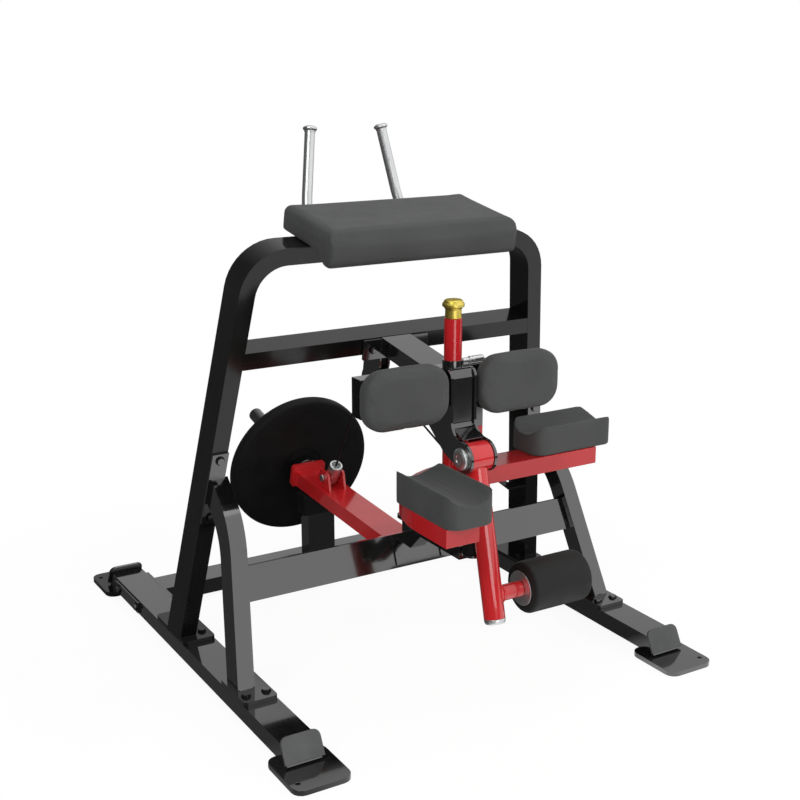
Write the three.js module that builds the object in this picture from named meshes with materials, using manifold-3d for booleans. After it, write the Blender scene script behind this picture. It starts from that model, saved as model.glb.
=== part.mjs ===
// A plate-loaded standing leg-curl machine, modelled in millimetres with +Z up.
// The user faces +Y: knees in the troughs, thighs and chest on the pads, ankles behind the roller.
// The swinging arm winds a cable that lifts the weight lever at the rear.
import * as THREE from 'three';
import { mergeVertices } from 'three/addons/utils/BufferGeometryUtils.js';
import Module from 'manifold-3d';

const wasm = await Module();
wasm.setup();

// ---- shared clearances and stock ----
const seat = 0.3;               // gap left between pieces that touch
const overrun = 20;             // how far a cut passes the piece it cuts
const weld = 6;                 // how far a welded piece runs into its neighbour
const tubeWall = 4;
const tubeWide = 100;           // the frame's flat oval stock, long side
const tubeThin = 50;            // the frame's stock, short side
const boreSlack = 0.5;          // radial clearance round shafts and pins

// ---- rails on the floor ----
const railX = 611;
const footThick = 15;
const railFront = -709;
const railBack = 629;
const railEndLean = 28 * Math.PI / 180;
const endPlateWide = 114;
const endPlateTall = 72;
const endPlateThick = 8;
const endPlateCorner = 20;
const footWide = 165;
const footLong = 185;
const footCorner = 30;
const footFrontY = -746;
const footRearY = 655;
const anchorRadius = 7;
const anchorX = 60;
const anchorY = 55;

// ---- rear cross beam and bumper ----
const rearBeamY = 450;
const rearBeamWide = 105;
const rearFlangeThick = 8;
const rearFlangeLong = 229;
const rearPlateThick = 6;
const rearPlateLong = 225;
const rearPlateTall = 39;
const rearPlateY = 462;
const rearBoltGap = 165;
const rearBoltY = 447;
const bumperPostDeep = 50;
const bumperPostTop = 240;
const bumperWide = 130;
const bumperDeep = 60;
const bumperTop = 311;

// ---- hoop, leaning forward ----
const hoopLean = 9.52 * Math.PI / 180;
const hoopFootX = 661;          // outer face of a leg at the rail
const hoopTaper = 0.139;        // how much a leg leans in for each unit of height
const hoopTop = 1200;
const hoopOuterBend = 147;
const hoopFootFront = -36;
const hoopFootLong = 232;
const padPlateThick = 12;       // bolted foot plates of hoop and braces
const hoopBoltInset = 25;
const hoopBoltEnd = 47;
const sideBracketLong = 70;
const sideBracketThick = 6;
const sideBracketAt = 289;
const sideBracketHole = 12;

// ---- front braces ----
const braceWide = 70;
const braceFootX = 649;
const braceFootY = -397;
const braceKneeY = -240.8;
const braceKneeZ = 494;
const braceEndY = -85;
const braceEndZ = 595;
const braceBend = 237;
const braceFootFront = -468;
const braceFootLong = 168;
const braceBoltGap = 60;
const braceBoltInset = 36;
const flangeThick = 8;
const braceFlangeLow = 392;
const braceFlangeTall = 216;
const braceFlangeBoltInset = 20;

// ---- lower cross beam, ribs and lever ears ----
const lowBeamY = -254;
const lowBeamZ = 321.2;
const lowBeamLean = 20.5 * Math.PI / 180;
const ribX = 78;
const ribThick = 8;
const ribProud = 6;
const ribTall = 85;
const earX = 78;
const earThick = 10;
const earRadius = 28;
const earReach = 62;            // from the shaft back into the beam
const earTall = 70;

// ---- stop for the arm ----
const stopStrutWide = 50;
const stopStrutTall = 40;
const stopStrutLow = 383;
const stopGussetLow = 330;
const stopGussetLong = 60;
const stopTongueLow = 404;
const stopTongueThick = 8;
const stopRadius = 30;
const stopTall = 58;

// ---- upper cross beam and forward strut ----
const highBeamLow = 853;
const strutFrontY = -399.7;
const strutFlangeWide = 220;
const strutFlangeLow = 837;
const strutFlangeTall = 63;
const strutBoltX = 78;
const strutBoltUp = 33;

// ---- hub, cheeks and cover ----
const hubY = -578;
const hubZ = 695;
const barrelRadius = 42;
const barrelWide = 68;
const axleRadius = 15;
const axleCapRadius = 31;
const axleCapThick = 14;
const cheekX = 38.5;
const cheekThick = 8;
const cheekNose = 45;
const cheekFrontY = -518;
const cheekBackY = -400;
const cheekTop = 927;
const cheekCorner = 22;
const cheekLowBack = 752;
const cheekLowMidY = -482;
const cheekLowMidZ = 689;
const cheekThroatZ = 745;
const cheekNeckY = -488.5;
const cheekNeckTop = 816;
const coverThick = 4;
const coverY = -510;
const coverLow = 765;
const coverTop = 905;
const coverBend = 20;
const coverLipBack = 12;        // the lip ends this far behind the hub's centre
const coverLipGap = 3;
const coverTopReach = 9;

// ---- thigh bars, boards and pads ----
const thighBarY = -447;
const thighBarLow = 816;
const thighBarTall = 110;
const thighBarEnd = 300;
const thighBoardThick = 12;
const thighPadInner = 53;
const thighPadOuter = 318;
const thighPadLow = 786;
const thighPadHigh = 958;
const thighPadThick = 55;
const thighPadCorner = 65;
const thighBoardInset = 33;

// ---- chest board and pad, in the hoop's leaning frame ----
const chestBoardThick = 12;
const chestBoardHalf = 260;
const chestBoardFront = -45;
const chestBoardBack = 150;
const chestHalf = 309;
const chestFront = -132;
const chestBack = 174;
const chestThick = 74;
const chestRollDrop = 33;
const chestRollBack = -62;
const chestRollSlope = 22;
const chestRidgeBack = 20;      // the soft ridge lies this far behind the front
const chestRidgeDrop = 34;
const chestRidgeRound = 14;
const chestRollRound = 32;
const chestEdgeRound = 8;
const chestEndRound = 20;

// ---- hand grips ----
const gripRadius = 16;
const gripX = 170;
const gripBackRun = 173;
const gripMidX = 157;
const gripMidY = 104;
const gripMidZ = 1333;
const gripTopX = 121;
const gripTopY = 144.5;
const gripTopZ = 1550;
const gripBend = 50;
const gripFlangeRadius = 24;
const gripFlangeThick = 6;
const gripEndRadius = 21.5;
const gripEndThick = 5;

// ---- swinging arm and ankle roller ----
const armLean = 13.6 * Math.PI / 180;
const armRadius = 30;
const armLong = 465;
const armCapThick = 14;
const rollerFromEnd = 77;
const stubRadius = 22.5;
const stubEnd = 94;
const spindleRadius = 12.5;
const spindleProud = 10;
const rollerRadius = 73.5;
const rollerStart = 95;
const rollerLong = 210;
const rollerRound = 20;
const rollerCoreRadius = 26;
const rollerDiscRadius = 50;
const rollerDiscThick = 3;
const retainerRadius = 20;
const retainerThick = 8;

// ---- cable and pulley ----
const cableRadius = 3;
const cableX = -28;
const drumCableX = -20;
const drumWrapStart = -66 * Math.PI / 180;
const drumWrapEnd = 20 * Math.PI / 180;
const pulleyDeep = 65;
const pulleyUp = 735;
const pulleyRadius = 48;
const pulleyGroove = 43;        // radius at the cable's centre
const pulleyHalf = 11;
const pulleyBore = 7;
const bracketGap = 12;
const bracketThick = 6;
const bracketNose = 30;
const bracketWide = 95;

// ---- weight lever ----
const leverY = -165;
const leverZ = 306;
const leverTilt = 3.7 * Math.PI / 180;
const leverFront = 30;
const leverLong = 640;
const shaftRadius = 15;
const shaftBossRadius = 22;
const shaftEnd = 92;
const hornY = 455;
const hornZ = 357;
const hornTilt = 14.7 * Math.PI / 180;
const hornPlateWide = 124;
const hornPlateTall = 80;
const hornPlateThick = 10;
const collarRadius = 45;
const discStart = 36;
const discRadius = 255;
const discThick = 52;
const discRound = 22;
const hornRadius = 25;
const hornLong = 431;
const lugGap = 48;
const lugThick = 8;
const lugFrontY = 222;
const lugBackY = 318;
const lugPinY = 267;
const lugPinZ = 395;
const lugNose = 26;
const pinRadius = 7;
const pinHeadRadius = 12;
const pinHeadThick = 8;
const socketRadius = 21;
const socketLong = 52;
const socketBore = 5;

// ---- sliding knee platform ----
const platformLow = 578;
const platformY = -460;
const platformRight = 483;
const platformLeftX = -230;
const platformFrontY = -864;
const platformBend = 262;
const postRadius = 25;
const postTop = 1062;
const postCapTall = 52;
const postCapHead = 24;
const postCapFlange = 31;
const postCapNeck = 22.5;
const postCapLip = 25;
const boxLeft = -9;
const boxRight = 93;
const boxDeep = 60;
const boxY = -450;
const boxTop = 746.7;
const guideLow = 747;
const guideTop = 927;
const guideHalf = 34;
const guideCollarTop = 946;      // thin collar round the post on top of the guide
const guideCollarRadius = 30;
const guideDeep = 70;
const guideSideTop = 815.5;
const pinLineY = -455;
const pinLineZ = 937;
const pinShankRadius = 4;
const pinKnobRadius = 9.5;
const pinKnobStart = 56;
const pinKnobEnd = 106;

// ---- knee troughs ----
const troughLong = 290;
const troughWide = 145;
const troughTall = 86;
const troughDeep = 31;
const troughLip = 4;
const troughEdge = 5;
const troughCorner = 40;
const troughLeftX = -212.5;
const troughLeftY = -745;
const troughRightX = 407;
const troughRightY = -437.5;

// ---- fasteners ----
const boltRadius = 6;
const boltHead = 11;
const boltHeadTall = 8;
const boltNutTall = 8;
const boltSink = 2;

// ---- roundness of curves ----
const roundSteps = 24;
const smallSteps = 12;
const midSteps = 16;
const bendSteps = 10;
const cornerSteps = 4;
const boltSteps = 8;
const hexSteps = 6;

// ---- colours and finishes ----
const looks = {
  frame: { color: 0x222322, roughness: 0.3, metalness: 0.2 },
  red: { color: 0xb81c20, roughness: 0.3, metalness: 0.15 },
  charcoal: { color: 0x4c4f4e, roughness: 0.65, metalness: 0 },
  foam: { color: 0x2f302f, roughness: 0.8, metalness: 0 },
  rubber: { color: 0x1a1a1a, roughness: 0.75, metalness: 0 },
  board: { color: 0x242424, roughness: 0.7, metalness: 0 },
  chrome: { color: 0xc8cacc, roughness: 0.12, metalness: 1 },
  steel: { color: 0xa9abad, roughness: 0.35, metalness: 1 },
  gold: { color: 0xc8b040, roughness: 0.35, metalness: 0.9 },
  grey: { color: 0x5f6060, roughness: 0.45, metalness: 0.4 },
  cable: { color: 0x161616, roughness: 0.5, metalness: 0.1 },
};

// ---- worked-out places shared by several pieces ----
const railLow = footThick + seat;
const railTop = railLow + tubeThin;
const legInner = hoopFootX - tubeThin;
const railInner = railX - tubeWide / 2;
const railOuter = railX + tubeWide / 2;
const legBase = railTop + seat;
const hub = new THREE.Vector3(0, hubY, hubZ);
const wrapRadius = barrelRadius + cableRadius;
const rollerDown = armLong - rollerFromEnd;
const spindleEnd = rollerStart + rollerLong + spindleProud;
const platformTop = platformLow + tubeThin;
const troughLow = platformTop + seat;
const chestLow = hoopTop + seat;

// ---- outlines ----
// A closed outline from [u, v, radius] corners, each corner rounded by its radius.
function rounded(corners, steps = cornerSteps) {
  const points = [];
  corners.forEach(([u, v, radius = 0], i) => {
    const here = new THREE.Vector2(u, v);
    if (radius === 0) {
      points.push(here);
      return;
    }
    const before = corners[(i + corners.length - 1) % corners.length];
    const after = corners[(i + 1) % corners.length];
    const back = new THREE.Vector2(before[0] - u, before[1] - v).normalize();
    const ahead = new THREE.Vector2(after[0] - u, after[1] - v).normalize();
    const half = Math.acos(THREE.MathUtils.clamp(back.dot(ahead), -1, 1)) / 2;
    const reach = radius / Math.tan(half);
    const centre = back.clone().add(ahead).normalize()
      .multiplyScalar(radius / Math.sin(half)).add(here);
    const start = back.clone().multiplyScalar(reach).add(here).sub(centre);
    const turn = (Math.PI - 2 * half) * Math.sign(back.cross(ahead)) * -1;
    for (let k = 0; k <= steps; k += 1) {
      points.push(start.clone().rotateAround(new THREE.Vector2(0, 0), turn * k / steps).add(centre));
    }
  });
  return points;
}

function rectangle(u0, u1, v0, v1, radius = 0) {
  return rounded([[u0, v0, radius], [u1, v0, radius], [u1, v1, radius], [u0, v1, radius]]);
}

function circle(u, v, radius, steps = roundSteps) {
  const points = [];
  for (let k = 0; k < steps; k += 1) {
    const angle = 2 * Math.PI * (k + 0.5) / steps;
    points.push(new THREE.Vector2(u + radius * Math.cos(angle), v + radius * Math.sin(angle)));
  }
  return points;
}

// A bar of constant width along a line with one bend.
function bentBar(start, bend, end, width, radius) {
  const first = bend.clone().sub(start).normalize();
  const last = end.clone().sub(bend).normalize();
  const side = (way) => new THREE.Vector2(way.y, -way.x);
  const halfTurn = Math.acos(first.dot(last)) / 2;
  const corner = side(first).add(side(last)).normalize()
    .multiplyScalar(width / 2 / Math.cos(halfTurn));
  const turnsRight = first.cross(last) < 0;
  const near = radius - width / 2;
  const far = radius + width / 2;
  const a = side(first).multiplyScalar(width / 2);
  const b = side(last).multiplyScalar(width / 2);
  return rounded([
    [start.x + a.x, start.y + a.y],
    [bend.x + corner.x, bend.y + corner.y, turnsRight ? near : far],
    [end.x + b.x, end.y + b.y],
    [end.x - b.x, end.y - b.y],
    [bend.x - corner.x, bend.y - corner.y, turnsRight ? far : near],
    [start.x - a.x, start.y - a.y],
  ], bendSteps);
}

// ---- solids from outlines ----
function prism(points, length) {
  return new THREE.ExtrudeGeometry(new THREE.Shape(points), { depth: length, bevelEnabled: false });
}

const unitX = new THREE.Vector3(1, 0, 0);
const unitY = new THREE.Vector3(0, 1, 0);
const unitZ = new THREE.Vector3(0, 0, 1);

// An outline in Y and Z, from one X to another.
function alongX(points, from, to) {
  return prism(points, to - from)
    .applyMatrix4(new THREE.Matrix4().makeBasis(unitY, unitZ, unitX))
    .translate(from, 0, 0);
}

// An outline in X and Z, from one Y to another.
function alongY(points, from, to) {
  return prism(points, to - from)
    .applyMatrix4(new THREE.Matrix4().makeBasis(unitX, unitZ, unitY.clone().negate()))
    .translate(0, to, 0);
}

// An outline in X and Y, from one Z to another.
function alongZ(points, from, to) {
  return prism(points, to - from).translate(0, 0, from);
}

// A turned piece: radius and height pairs, about Z.
function turned(profile, steps = roundSteps) {
  const points = profile.map(([radius, height]) => new THREE.Vector2(radius, height));
  return new THREE.LatheGeometry(points, steps).rotateX(Math.PI / 2);
}

// A turned piece laid along X or along Y, with its heights as places on that axis.
const turnedX = (profile, steps) => turned(profile, steps).rotateY(Math.PI / 2);
const turnedY = (profile, steps) => turned(profile, steps).rotateX(-Math.PI / 2);

// ---- joining and cutting ----
function solidOf(geometry) {
  const bare = geometry.clone();
  bare.deleteAttribute('normal');
  bare.deleteAttribute('uv');
  const merged = mergeVertices(bare, 1e-3);
  const solid = new wasm.Manifold(new wasm.Mesh({
    numProp: 3,
    vertProperties: new Float32Array(merged.attributes.position.array),
    triVerts: new Uint32Array(merged.index.array),
  }));
  return solid;
}

function geometryOf(solid) {
  const mesh = solid.getMesh();
  const geometry = new THREE.BufferGeometry();
  geometry.setAttribute('position', new THREE.BufferAttribute(new Float32Array(mesh.vertProperties), 3));
  geometry.setIndex(new THREE.BufferAttribute(new Uint32Array(mesh.triVerts), 1));
  return geometry;
}

function join(...pieces) {
  return geometryOf(pieces.map(solidOf).reduce((sum, piece) => sum.add(piece)));
}

function cut(piece, ...tools) {
  return geometryOf(tools.map(solidOf).reduce((rest, tool) => rest.subtract(tool), solidOf(piece)));
}

function common(...pieces) {
  return geometryOf(pieces.map(solidOf).reduce((rest, piece) => rest.intersect(piece)));
}

function mirrored(geometry) {
  const bare = geometry.clone();
  bare.deleteAttribute('normal');
  bare.deleteAttribute('uv');
  const flipped = mergeVertices(bare, 1e-3);
  flipped.scale(-1, 1, 1);
  const index = flipped.index.array;
  for (let i = 0; i < index.length; i += 3) {
    [index[i], index[i + 1]] = [index[i + 1], index[i]];
  }
  return flipped;
}

// A hexagon-headed bolt down -Z through the plate that carries it; a nut shows only below an open grip.
function bolt(grip, nut = false) {
  const head = alongZ(circle(0, 0, boltHead, hexSteps), -boltSink, boltHeadTall);
  const shank = alongZ(circle(0, 0, boltRadius, boltSteps), -grip - boltNutTall, boltHeadTall / 2);
  return nut
    ? join(head, shank, alongZ(circle(0, 0, boltHead, hexSteps), -grip - boltNutTall + boltSink, -grip - seat))
    : join(head, shank);
}

const boltHole = (grip) => alongZ(
  circle(0, 0, boltRadius + boreSlack, boltSteps), -grip - overrun, overrun);

// ---- soft forms ----
// Rings of a rounded rectangle drawn in by steps, skinned into one closed body.
// Each level is [inset, height share]; top gives the full height at a place.
function cushion(halfU, halfV, corner, levels, top) {
  const sidePoints = 3;
  const positions = [];
  const ring = (inset, share) => {
    const a = halfU - inset;
    const b = halfV - inset;
    const r = Math.max(corner - inset, Math.min(a, b) * 0.4);
    const quarter = [[a - r, b - r, 0], [-(a - r), b - r, 1], [-(a - r), -(b - r), 2], [a - r, -(b - r), 3]];
    const loop = [];
    quarter.forEach(([u, v, q], i) => {
      for (let k = 0; k <= cornerSteps; k += 1) {
        const angle = (q + k / cornerSteps) * Math.PI / 2;
        loop.push([u + r * Math.cos(angle), v + r * Math.sin(angle)]);
      }
      const [nu, nv, nq] = quarter[(i + 1) % 4];
      const end = [u + r * Math.cos((q + 1) * Math.PI / 2), v + r * Math.sin((q + 1) * Math.PI / 2)];
      const next = [nu + r * Math.cos(nq * Math.PI / 2), nv + r * Math.sin(nq * Math.PI / 2)];
      for (let k = 1; k <= sidePoints; k += 1) {
        const t = k / (sidePoints + 1);
        loop.push([end[0] + (next[0] - end[0]) * t, end[1] + (next[1] - end[1]) * t]);
      }
    });
    return loop.map(([u, v]) => [u, v, share * top(u, v)]);
  };
  const rings = levels.map(([inset, share]) => ring(inset, share));
  const count = rings[0].length;
  rings.forEach((loop) => loop.forEach((point) => positions.push(...point)));
  const index = [];
  for (let r = 0; r + 1 < rings.length; r += 1) {
    for (let k = 0; k < count; k += 1) {
      const a = r * count + k;
      const b = r * count + (k + 1) % count;
      index.push(a, b, b + count, a, b + count, a + count);
    }
  }
  const bottom = positions.length / 3;
  positions.push(0, 0, 0);
  const lastShare = levels[levels.length - 1][1];
  positions.push(0, 0, lastShare * top(0, 0));
  for (let k = 0; k < count; k += 1) {
    index.push(bottom, (k + 1) % count, k);
    const a = (rings.length - 1) * count + k;
    const b = (rings.length - 1) * count + (k + 1) % count;
    index.push(bottom + 1, a, b);
  }
  const geometry = new THREE.BufferGeometry();
  geometry.setAttribute('position', new THREE.BufferAttribute(new Float32Array(positions), 3));
  geometry.setIndex(index);
  return geometry;
}

// A round tube along a path of straights joined by bends of one reach.
function roundTube(points, reach, radius, sides, steps) {
  const path = new THREE.CurvePath();
  let from = points[0];
  for (let i = 1; i < points.length - 1; i += 1) {
    const back = points[i - 1].clone().sub(points[i]).normalize().multiplyScalar(reach).add(points[i]);
    const ahead = points[i + 1].clone().sub(points[i]).normalize().multiplyScalar(reach).add(points[i]);
    path.add(new THREE.LineCurve3(from, back));
    path.add(new THREE.QuadraticBezierCurve3(back, points[i], ahead));
    from = ahead;
  }
  path.add(new THREE.LineCurve3(from, points[points.length - 1]));
  return new THREE.ExtrudeGeometry(new THREE.Shape(circle(0, 0, radius, sides)), {
    steps, extrudePath: path, bevelEnabled: false,
  });
}

// ---- the scene graph ----
const machine = new THREE.Group();

const hoopFrame = new THREE.Group();
hoopFrame.position.set(0, 0, railTop);
hoopFrame.rotation.x = hoopLean;
machine.add(hoopFrame);

const armFrame = new THREE.Group();
armFrame.position.copy(hub);
armFrame.rotation.x = -armLean;
machine.add(armFrame);

const leverFrame = new THREE.Group();
leverFrame.position.set(0, leverY, leverZ);
leverFrame.rotation.x = leverTilt;
machine.add(leverFrame);

const hornFrame = new THREE.Group();
hornFrame.position.set(0, hornY, hornZ);
hornFrame.rotation.x = hornTilt;
machine.add(hornFrame);

[hoopFrame, armFrame, leverFrame, hornFrame].forEach((frame) => frame.updateMatrix());
const toHoop = hoopFrame.matrix.clone().invert();
const toLever = leverFrame.matrix.clone().invert();

function add(name, geometry, look, parent = machine) {
  const mesh = new THREE.Mesh(geometry, new THREE.MeshStandardMaterial(looks[look]));
  mesh.name = name;
  parent.add(mesh);
  return mesh;
}

const sides = [['left', -1], ['right', 1]];

// ---- rails, end plates and feet ----
const railBoltGrip = padPlateThick + seat + tubeWall;
const hoopBoltPlaces = [];
[hoopFootFront + hoopBoltEnd, hoopFootFront + hoopFootLong - hoopBoltEnd].forEach((y) => {
  hoopBoltPlaces.push([railInner + hoopBoltInset, y]);
});
const braceBoltPlaces = [-1, 1].map((way) => (
  [railX + way * braceBoltGap / 2, braceFootFront + braceBoltInset]));
const footBoltPlaces = [...hoopBoltPlaces, ...braceBoltPlaces];
const footBoltSeat = legBase + padPlateThick;

const rearBoltPlaces = [rearBoltY - rearBoltGap / 2, rearBoltY + rearBoltGap / 2];
const railMid = railLow + tubeThin / 2;
const rearBoltGrip = tubeWide + rearPlateThick + rearFlangeThick + 2 * seat;
const rearBoltSeat = railOuter + seat + rearPlateThick;

function rail() {
  const slope = Math.tan(railEndLean) * tubeThin / 2;
  const side = [
    new THREE.Vector2(railFront - slope, railLow),
    new THREE.Vector2(railBack + slope, railLow),
    new THREE.Vector2(railBack - slope, railTop),
    new THREE.Vector2(railFront + slope, railTop),
  ];
  const bar = alongX(side, railInner, railOuter);
  const hollow = alongY(rectangle(railInner + tubeWall, railOuter - tubeWall,
    railLow + tubeWall, railTop - tubeWall), railFront - tubeWide, railBack + tubeWide);
  const holes = footBoltPlaces.map(([x, y]) => alongZ(
    circle(x, y, boltRadius + boreSlack, boltSteps), railTop - tubeWall - weld, railTop + overrun));
  const cross = rearBoltPlaces.map((y) => alongX(
    circle(y, railMid, boltRadius + boreSlack, boltSteps), railInner - overrun, railOuter + overrun));
  return cut(bar, hollow, ...holes, ...cross);
}

const railRight = rail();
add('rail_right', railRight, 'frame');
add('rail_left', mirrored(railRight), 'frame');

// A slanted plate just off each rail end, its lower edge further out.
const endPlateShape = rounded([
  [-endPlateWide / 2, -endPlateTall / 2], [endPlateWide / 2, -endPlateTall / 2],
  [endPlateWide / 2, endPlateTall / 2, endPlateCorner],
  [-endPlateWide / 2, endPlateTall / 2, endPlateCorner],
]);
const endPlateLift = endPlateTall / 2 * Math.cos(railEndLean)
  + endPlateThick * Math.sin(railEndLean) + footThick + 2 * seat;
[['front', -1, railFront, 'grey'], ['rear', 1, railBack, 'frame']].forEach(([end, way, railEnd, look]) => {
  sides.forEach(([side, sign]) => {
    const plate = alongY(endPlateShape, seat, seat + endPlateThick);
    const mesh = add(`rail_end_${end}_${side}`, way > 0 ? plate : plate.rotateZ(Math.PI), look);
    const drop = endPlateLift - railMid;
    mesh.position.set(sign * railX, railEnd - way * drop * Math.tan(railEndLean), endPlateLift);
    mesh.rotation.x = way * railEndLean;
  });
});

[['front', -1, footFrontY], ['rear', 1, footRearY]].forEach(([end, way, y]) => {
  sides.forEach(([side, sign]) => {
    const plate = alongZ(rectangle(-footWide / 2, footWide / 2, -footLong / 2, footLong / 2, footCorner),
      0, footThick);
    const anchor = alongZ(circle(sign * anchorX, way * anchorY, anchorRadius, smallSteps),
      -overrun, footThick + overrun);
    add(`foot_${end}_${side}`, cut(plate, anchor), 'frame').position.set(sign * railX, y, 0);
  });
});

// ---- rear beam with flanges and bumper post ----
const rearFlangeInner = railInner - seat - rearFlangeThick;
const beamInset = rearBeamWide / 2;
const bumperBack = rearBeamY - beamInset;
const rearOuter = join(
  alongX(rectangle(rearBeamY - beamInset, rearBeamY + beamInset, railLow, railTop),
    -rearFlangeInner - weld, rearFlangeInner + weld),
  ...[-1, 1].map((sign) => alongX(rectangle(rearBoltY - rearFlangeLong / 2, rearBoltY + rearFlangeLong / 2,
    railLow, railTop, tubeWall), Math.min(sign * rearFlangeInner, sign * (railInner - seat)),
  Math.max(sign * rearFlangeInner, sign * (railInner - seat)))),
  alongZ(rectangle(-tubeWide / 2, tubeWide / 2, bumperBack - bumperPostDeep, bumperBack + weld),
    railLow, bumperPostTop),
);
const rearHollow = alongX(rectangle(rearBeamY - beamInset + tubeWall, rearBeamY + beamInset - tubeWall,
  railLow + tubeWall, railTop - tubeWall), -railInner - overrun, railInner + overrun);
const bumperHollow = alongZ(rectangle(-tubeWide / 2 + tubeWall, tubeWide / 2 - tubeWall,
  bumperBack - bumperPostDeep + tubeWall, bumperBack - tubeWall), railLow - overrun,
bumperPostTop - tubeWall);
add('rear_beam', cut(rearOuter, rearHollow, bumperHollow, ...rearBoltPlaces.map((y) => alongX(
  circle(y, railMid, boltRadius + boreSlack, boltSteps), -railInner - overrun, railInner + overrun))), 'frame');

// Each outer backing plate carries the two bolts that pass through rail and flange.
sides.forEach(([side, sign]) => {
  const plate = alongX(rectangle(rearPlateY - rearPlateLong / 2, rearPlateY + rearPlateLong / 2,
    railMid - rearPlateTall / 2, railMid + rearPlateTall / 2, tubeWall), railOuter + seat,
  railOuter + seat + rearPlateThick);
  const bolted = join(plate, ...rearBoltPlaces.map((y) => bolt(rearBoltGrip, true).rotateY(Math.PI / 2)
    .translate(rearBoltSeat, y, railMid)));
  add(`rear_backing_${side}`, sign > 0 ? bolted : mirrored(bolted), 'frame');
});

const bumper = alongZ(rectangle(-bumperWide / 2, bumperWide / 2,
  bumperBack - bumperPostDeep / 2 - bumperDeep / 2, bumperBack - bumperPostDeep / 2 + bumperDeep / 2,
  tubeWall), bumperPostTop + seat, bumperTop);
add('bumper', bumper, 'rubber');

// ---- hoop with its foot plates and side bracket ----
// In the hoop's frame X runs across, Y through its depth and Z up its lean.
function legBand(outset, top, bend, low) {
  const foot = hoopFootX - outset;
  return [[-foot + hoopTaper * low, low], [-foot + hoopTaper * top, top, bend],
    [foot - hoopTaper * top, top, bend], [foot - hoopTaper * low, low]];
}

function archBand(outset, outerTop, outerBend, inset, innerTop, innerBend, low, steps) {
  const outer = rounded(legBand(outset, outerTop, outerBend, low), steps);
  const inner = rounded(legBand(inset, innerTop, innerBend, low), steps);
  return [...outer, ...inner.reverse()];
}

const hoopSunk = -tubeWide;
const hoopBar = alongY(archBand(0, hoopTop, hoopOuterBend,
  tubeThin, hoopTop - tubeThin, hoopOuterBend - tubeThin, hoopSunk, bendSteps), 0, tubeWide);
const hoopHollow = alongY(archBand(tubeWall, hoopTop - tubeWall, hoopOuterBend - tubeWall,
  tubeThin - tubeWall, hoopTop - tubeThin + tubeWall, hoopOuterBend - tubeThin + tubeWall,
  hoopSunk - overrun, cornerSteps), tubeWall, tubeWide - tubeWall);
const underPlates = alongZ(rectangle(-railX * 2, railX * 2, -railX, railX), -railX, legBase)
  .applyMatrix4(toHoop);
const hoopPlates = [-1, 1].map((sign) => alongZ(rectangle(
  Math.min(sign * railInner, sign * railOuter), Math.max(sign * railInner, sign * railOuter),
  hoopFootFront, hoopFootFront + hoopFootLong, padPlateThick), legBase, legBase + padPlateThick)
  .applyMatrix4(toHoop));
const hoopBolts = [-1, 1].flatMap((sign) => hoopBoltPlaces.map(([x, y]) => bolt(railBoltGrip)
  .translate(sign * x, y, footBoltSeat).applyMatrix4(toHoop)));
const bracketPlate = cut(alongZ(rectangle(legInner - hoopTaper * sideBracketAt - sideBracketLong,
  legInner - hoopTaper * sideBracketAt + tubeWall / 2, 0, tubeWide, weld),
sideBracketAt, sideBracketAt + sideBracketThick),
alongZ(circle(legInner - hoopTaper * sideBracketAt - sideBracketLong / 2, tubeWide / 2, sideBracketHole,
  smallSteps), sideBracketAt - overrun, sideBracketAt + overrun));

const braceFlangeBolts = [braceFlangeLow + braceFlangeBoltInset,
  braceFlangeLow + braceFlangeTall - braceFlangeBoltInset];
const legCentre = (w) => hoopFootX - tubeThin / 2 - hoopTaper * w;
const frontHole = (x, w) => boltHole(flangeThick).rotateX(Math.PI / 2).translate(x, 0, w);
const strutBoltW = strutFlangeLow + strutBoltUp;
const hoop = cut(join(cut(hoopBar, underPlates), ...hoopPlates, bracketPlate, ...hoopBolts), hoopHollow,
  ...braceFlangeBolts.flatMap((w) => [frontHole(legCentre(w), w), frontHole(-legCentre(w), w)]));
add('hoop', hoop, 'frame', hoopFrame);

// ---- front braces ----
function leanIn(geometry) {
  const base = legBase + padPlateThick;
  const shear = new THREE.Matrix4().makeShear(0, 0, 0, 0, -hoopTaper, 0);
  return geometry.translate(0, 0, -base).applyMatrix4(shear).translate(0, 0, base);
}

const knee = new THREE.Vector2(braceKneeY, braceKneeZ);
const shin = knee.clone().sub(new THREE.Vector2(braceFootY, legBase + padPlateThick)).normalize();
const neck = new THREE.Vector2(braceEndY, braceEndZ).sub(knee).normalize();
const sideStep = (way) => new THREE.Vector2(way.y, -way.x);
const kneeMid = knee.clone().add(sideStep(shin).add(sideStep(neck)).normalize()
  .multiplyScalar(braceWide / 2 / Math.cos(Math.acos(shin.dot(neck)) / 2)));
const braceLow = kneeMid.clone().add(shin.clone().multiplyScalar(-braceKneeZ));
const braceHigh = kneeMid.clone().add(neck.clone().multiplyScalar(braceKneeZ / 2));
const braceBar = (inset) => leanIn(alongX(
  bentBar(braceLow, kneeMid, braceHigh, braceWide - 2 * inset, braceBend),
  braceFootX - tubeThin + inset, braceFootX - inset));
const belowBrace = alongZ(rectangle(-railX * 2, railX * 2, -railX * 2, railX), -railX, legBase);
const behindFlange = alongY(rectangle(-railX * 2, railX * 2, -railX, railX * 3),
  -seat - flangeThick / 2, railX * 2).applyMatrix4(hoopFrame.matrix);
const braceFoot = alongZ(rectangle(railInner, railOuter, braceFootFront, braceFootFront + braceFootLong,
  padPlateThick), legBase, legBase + padPlateThick);
const braceFlangeX = (w) => hoopFootX - hoopTaper * w;
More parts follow.
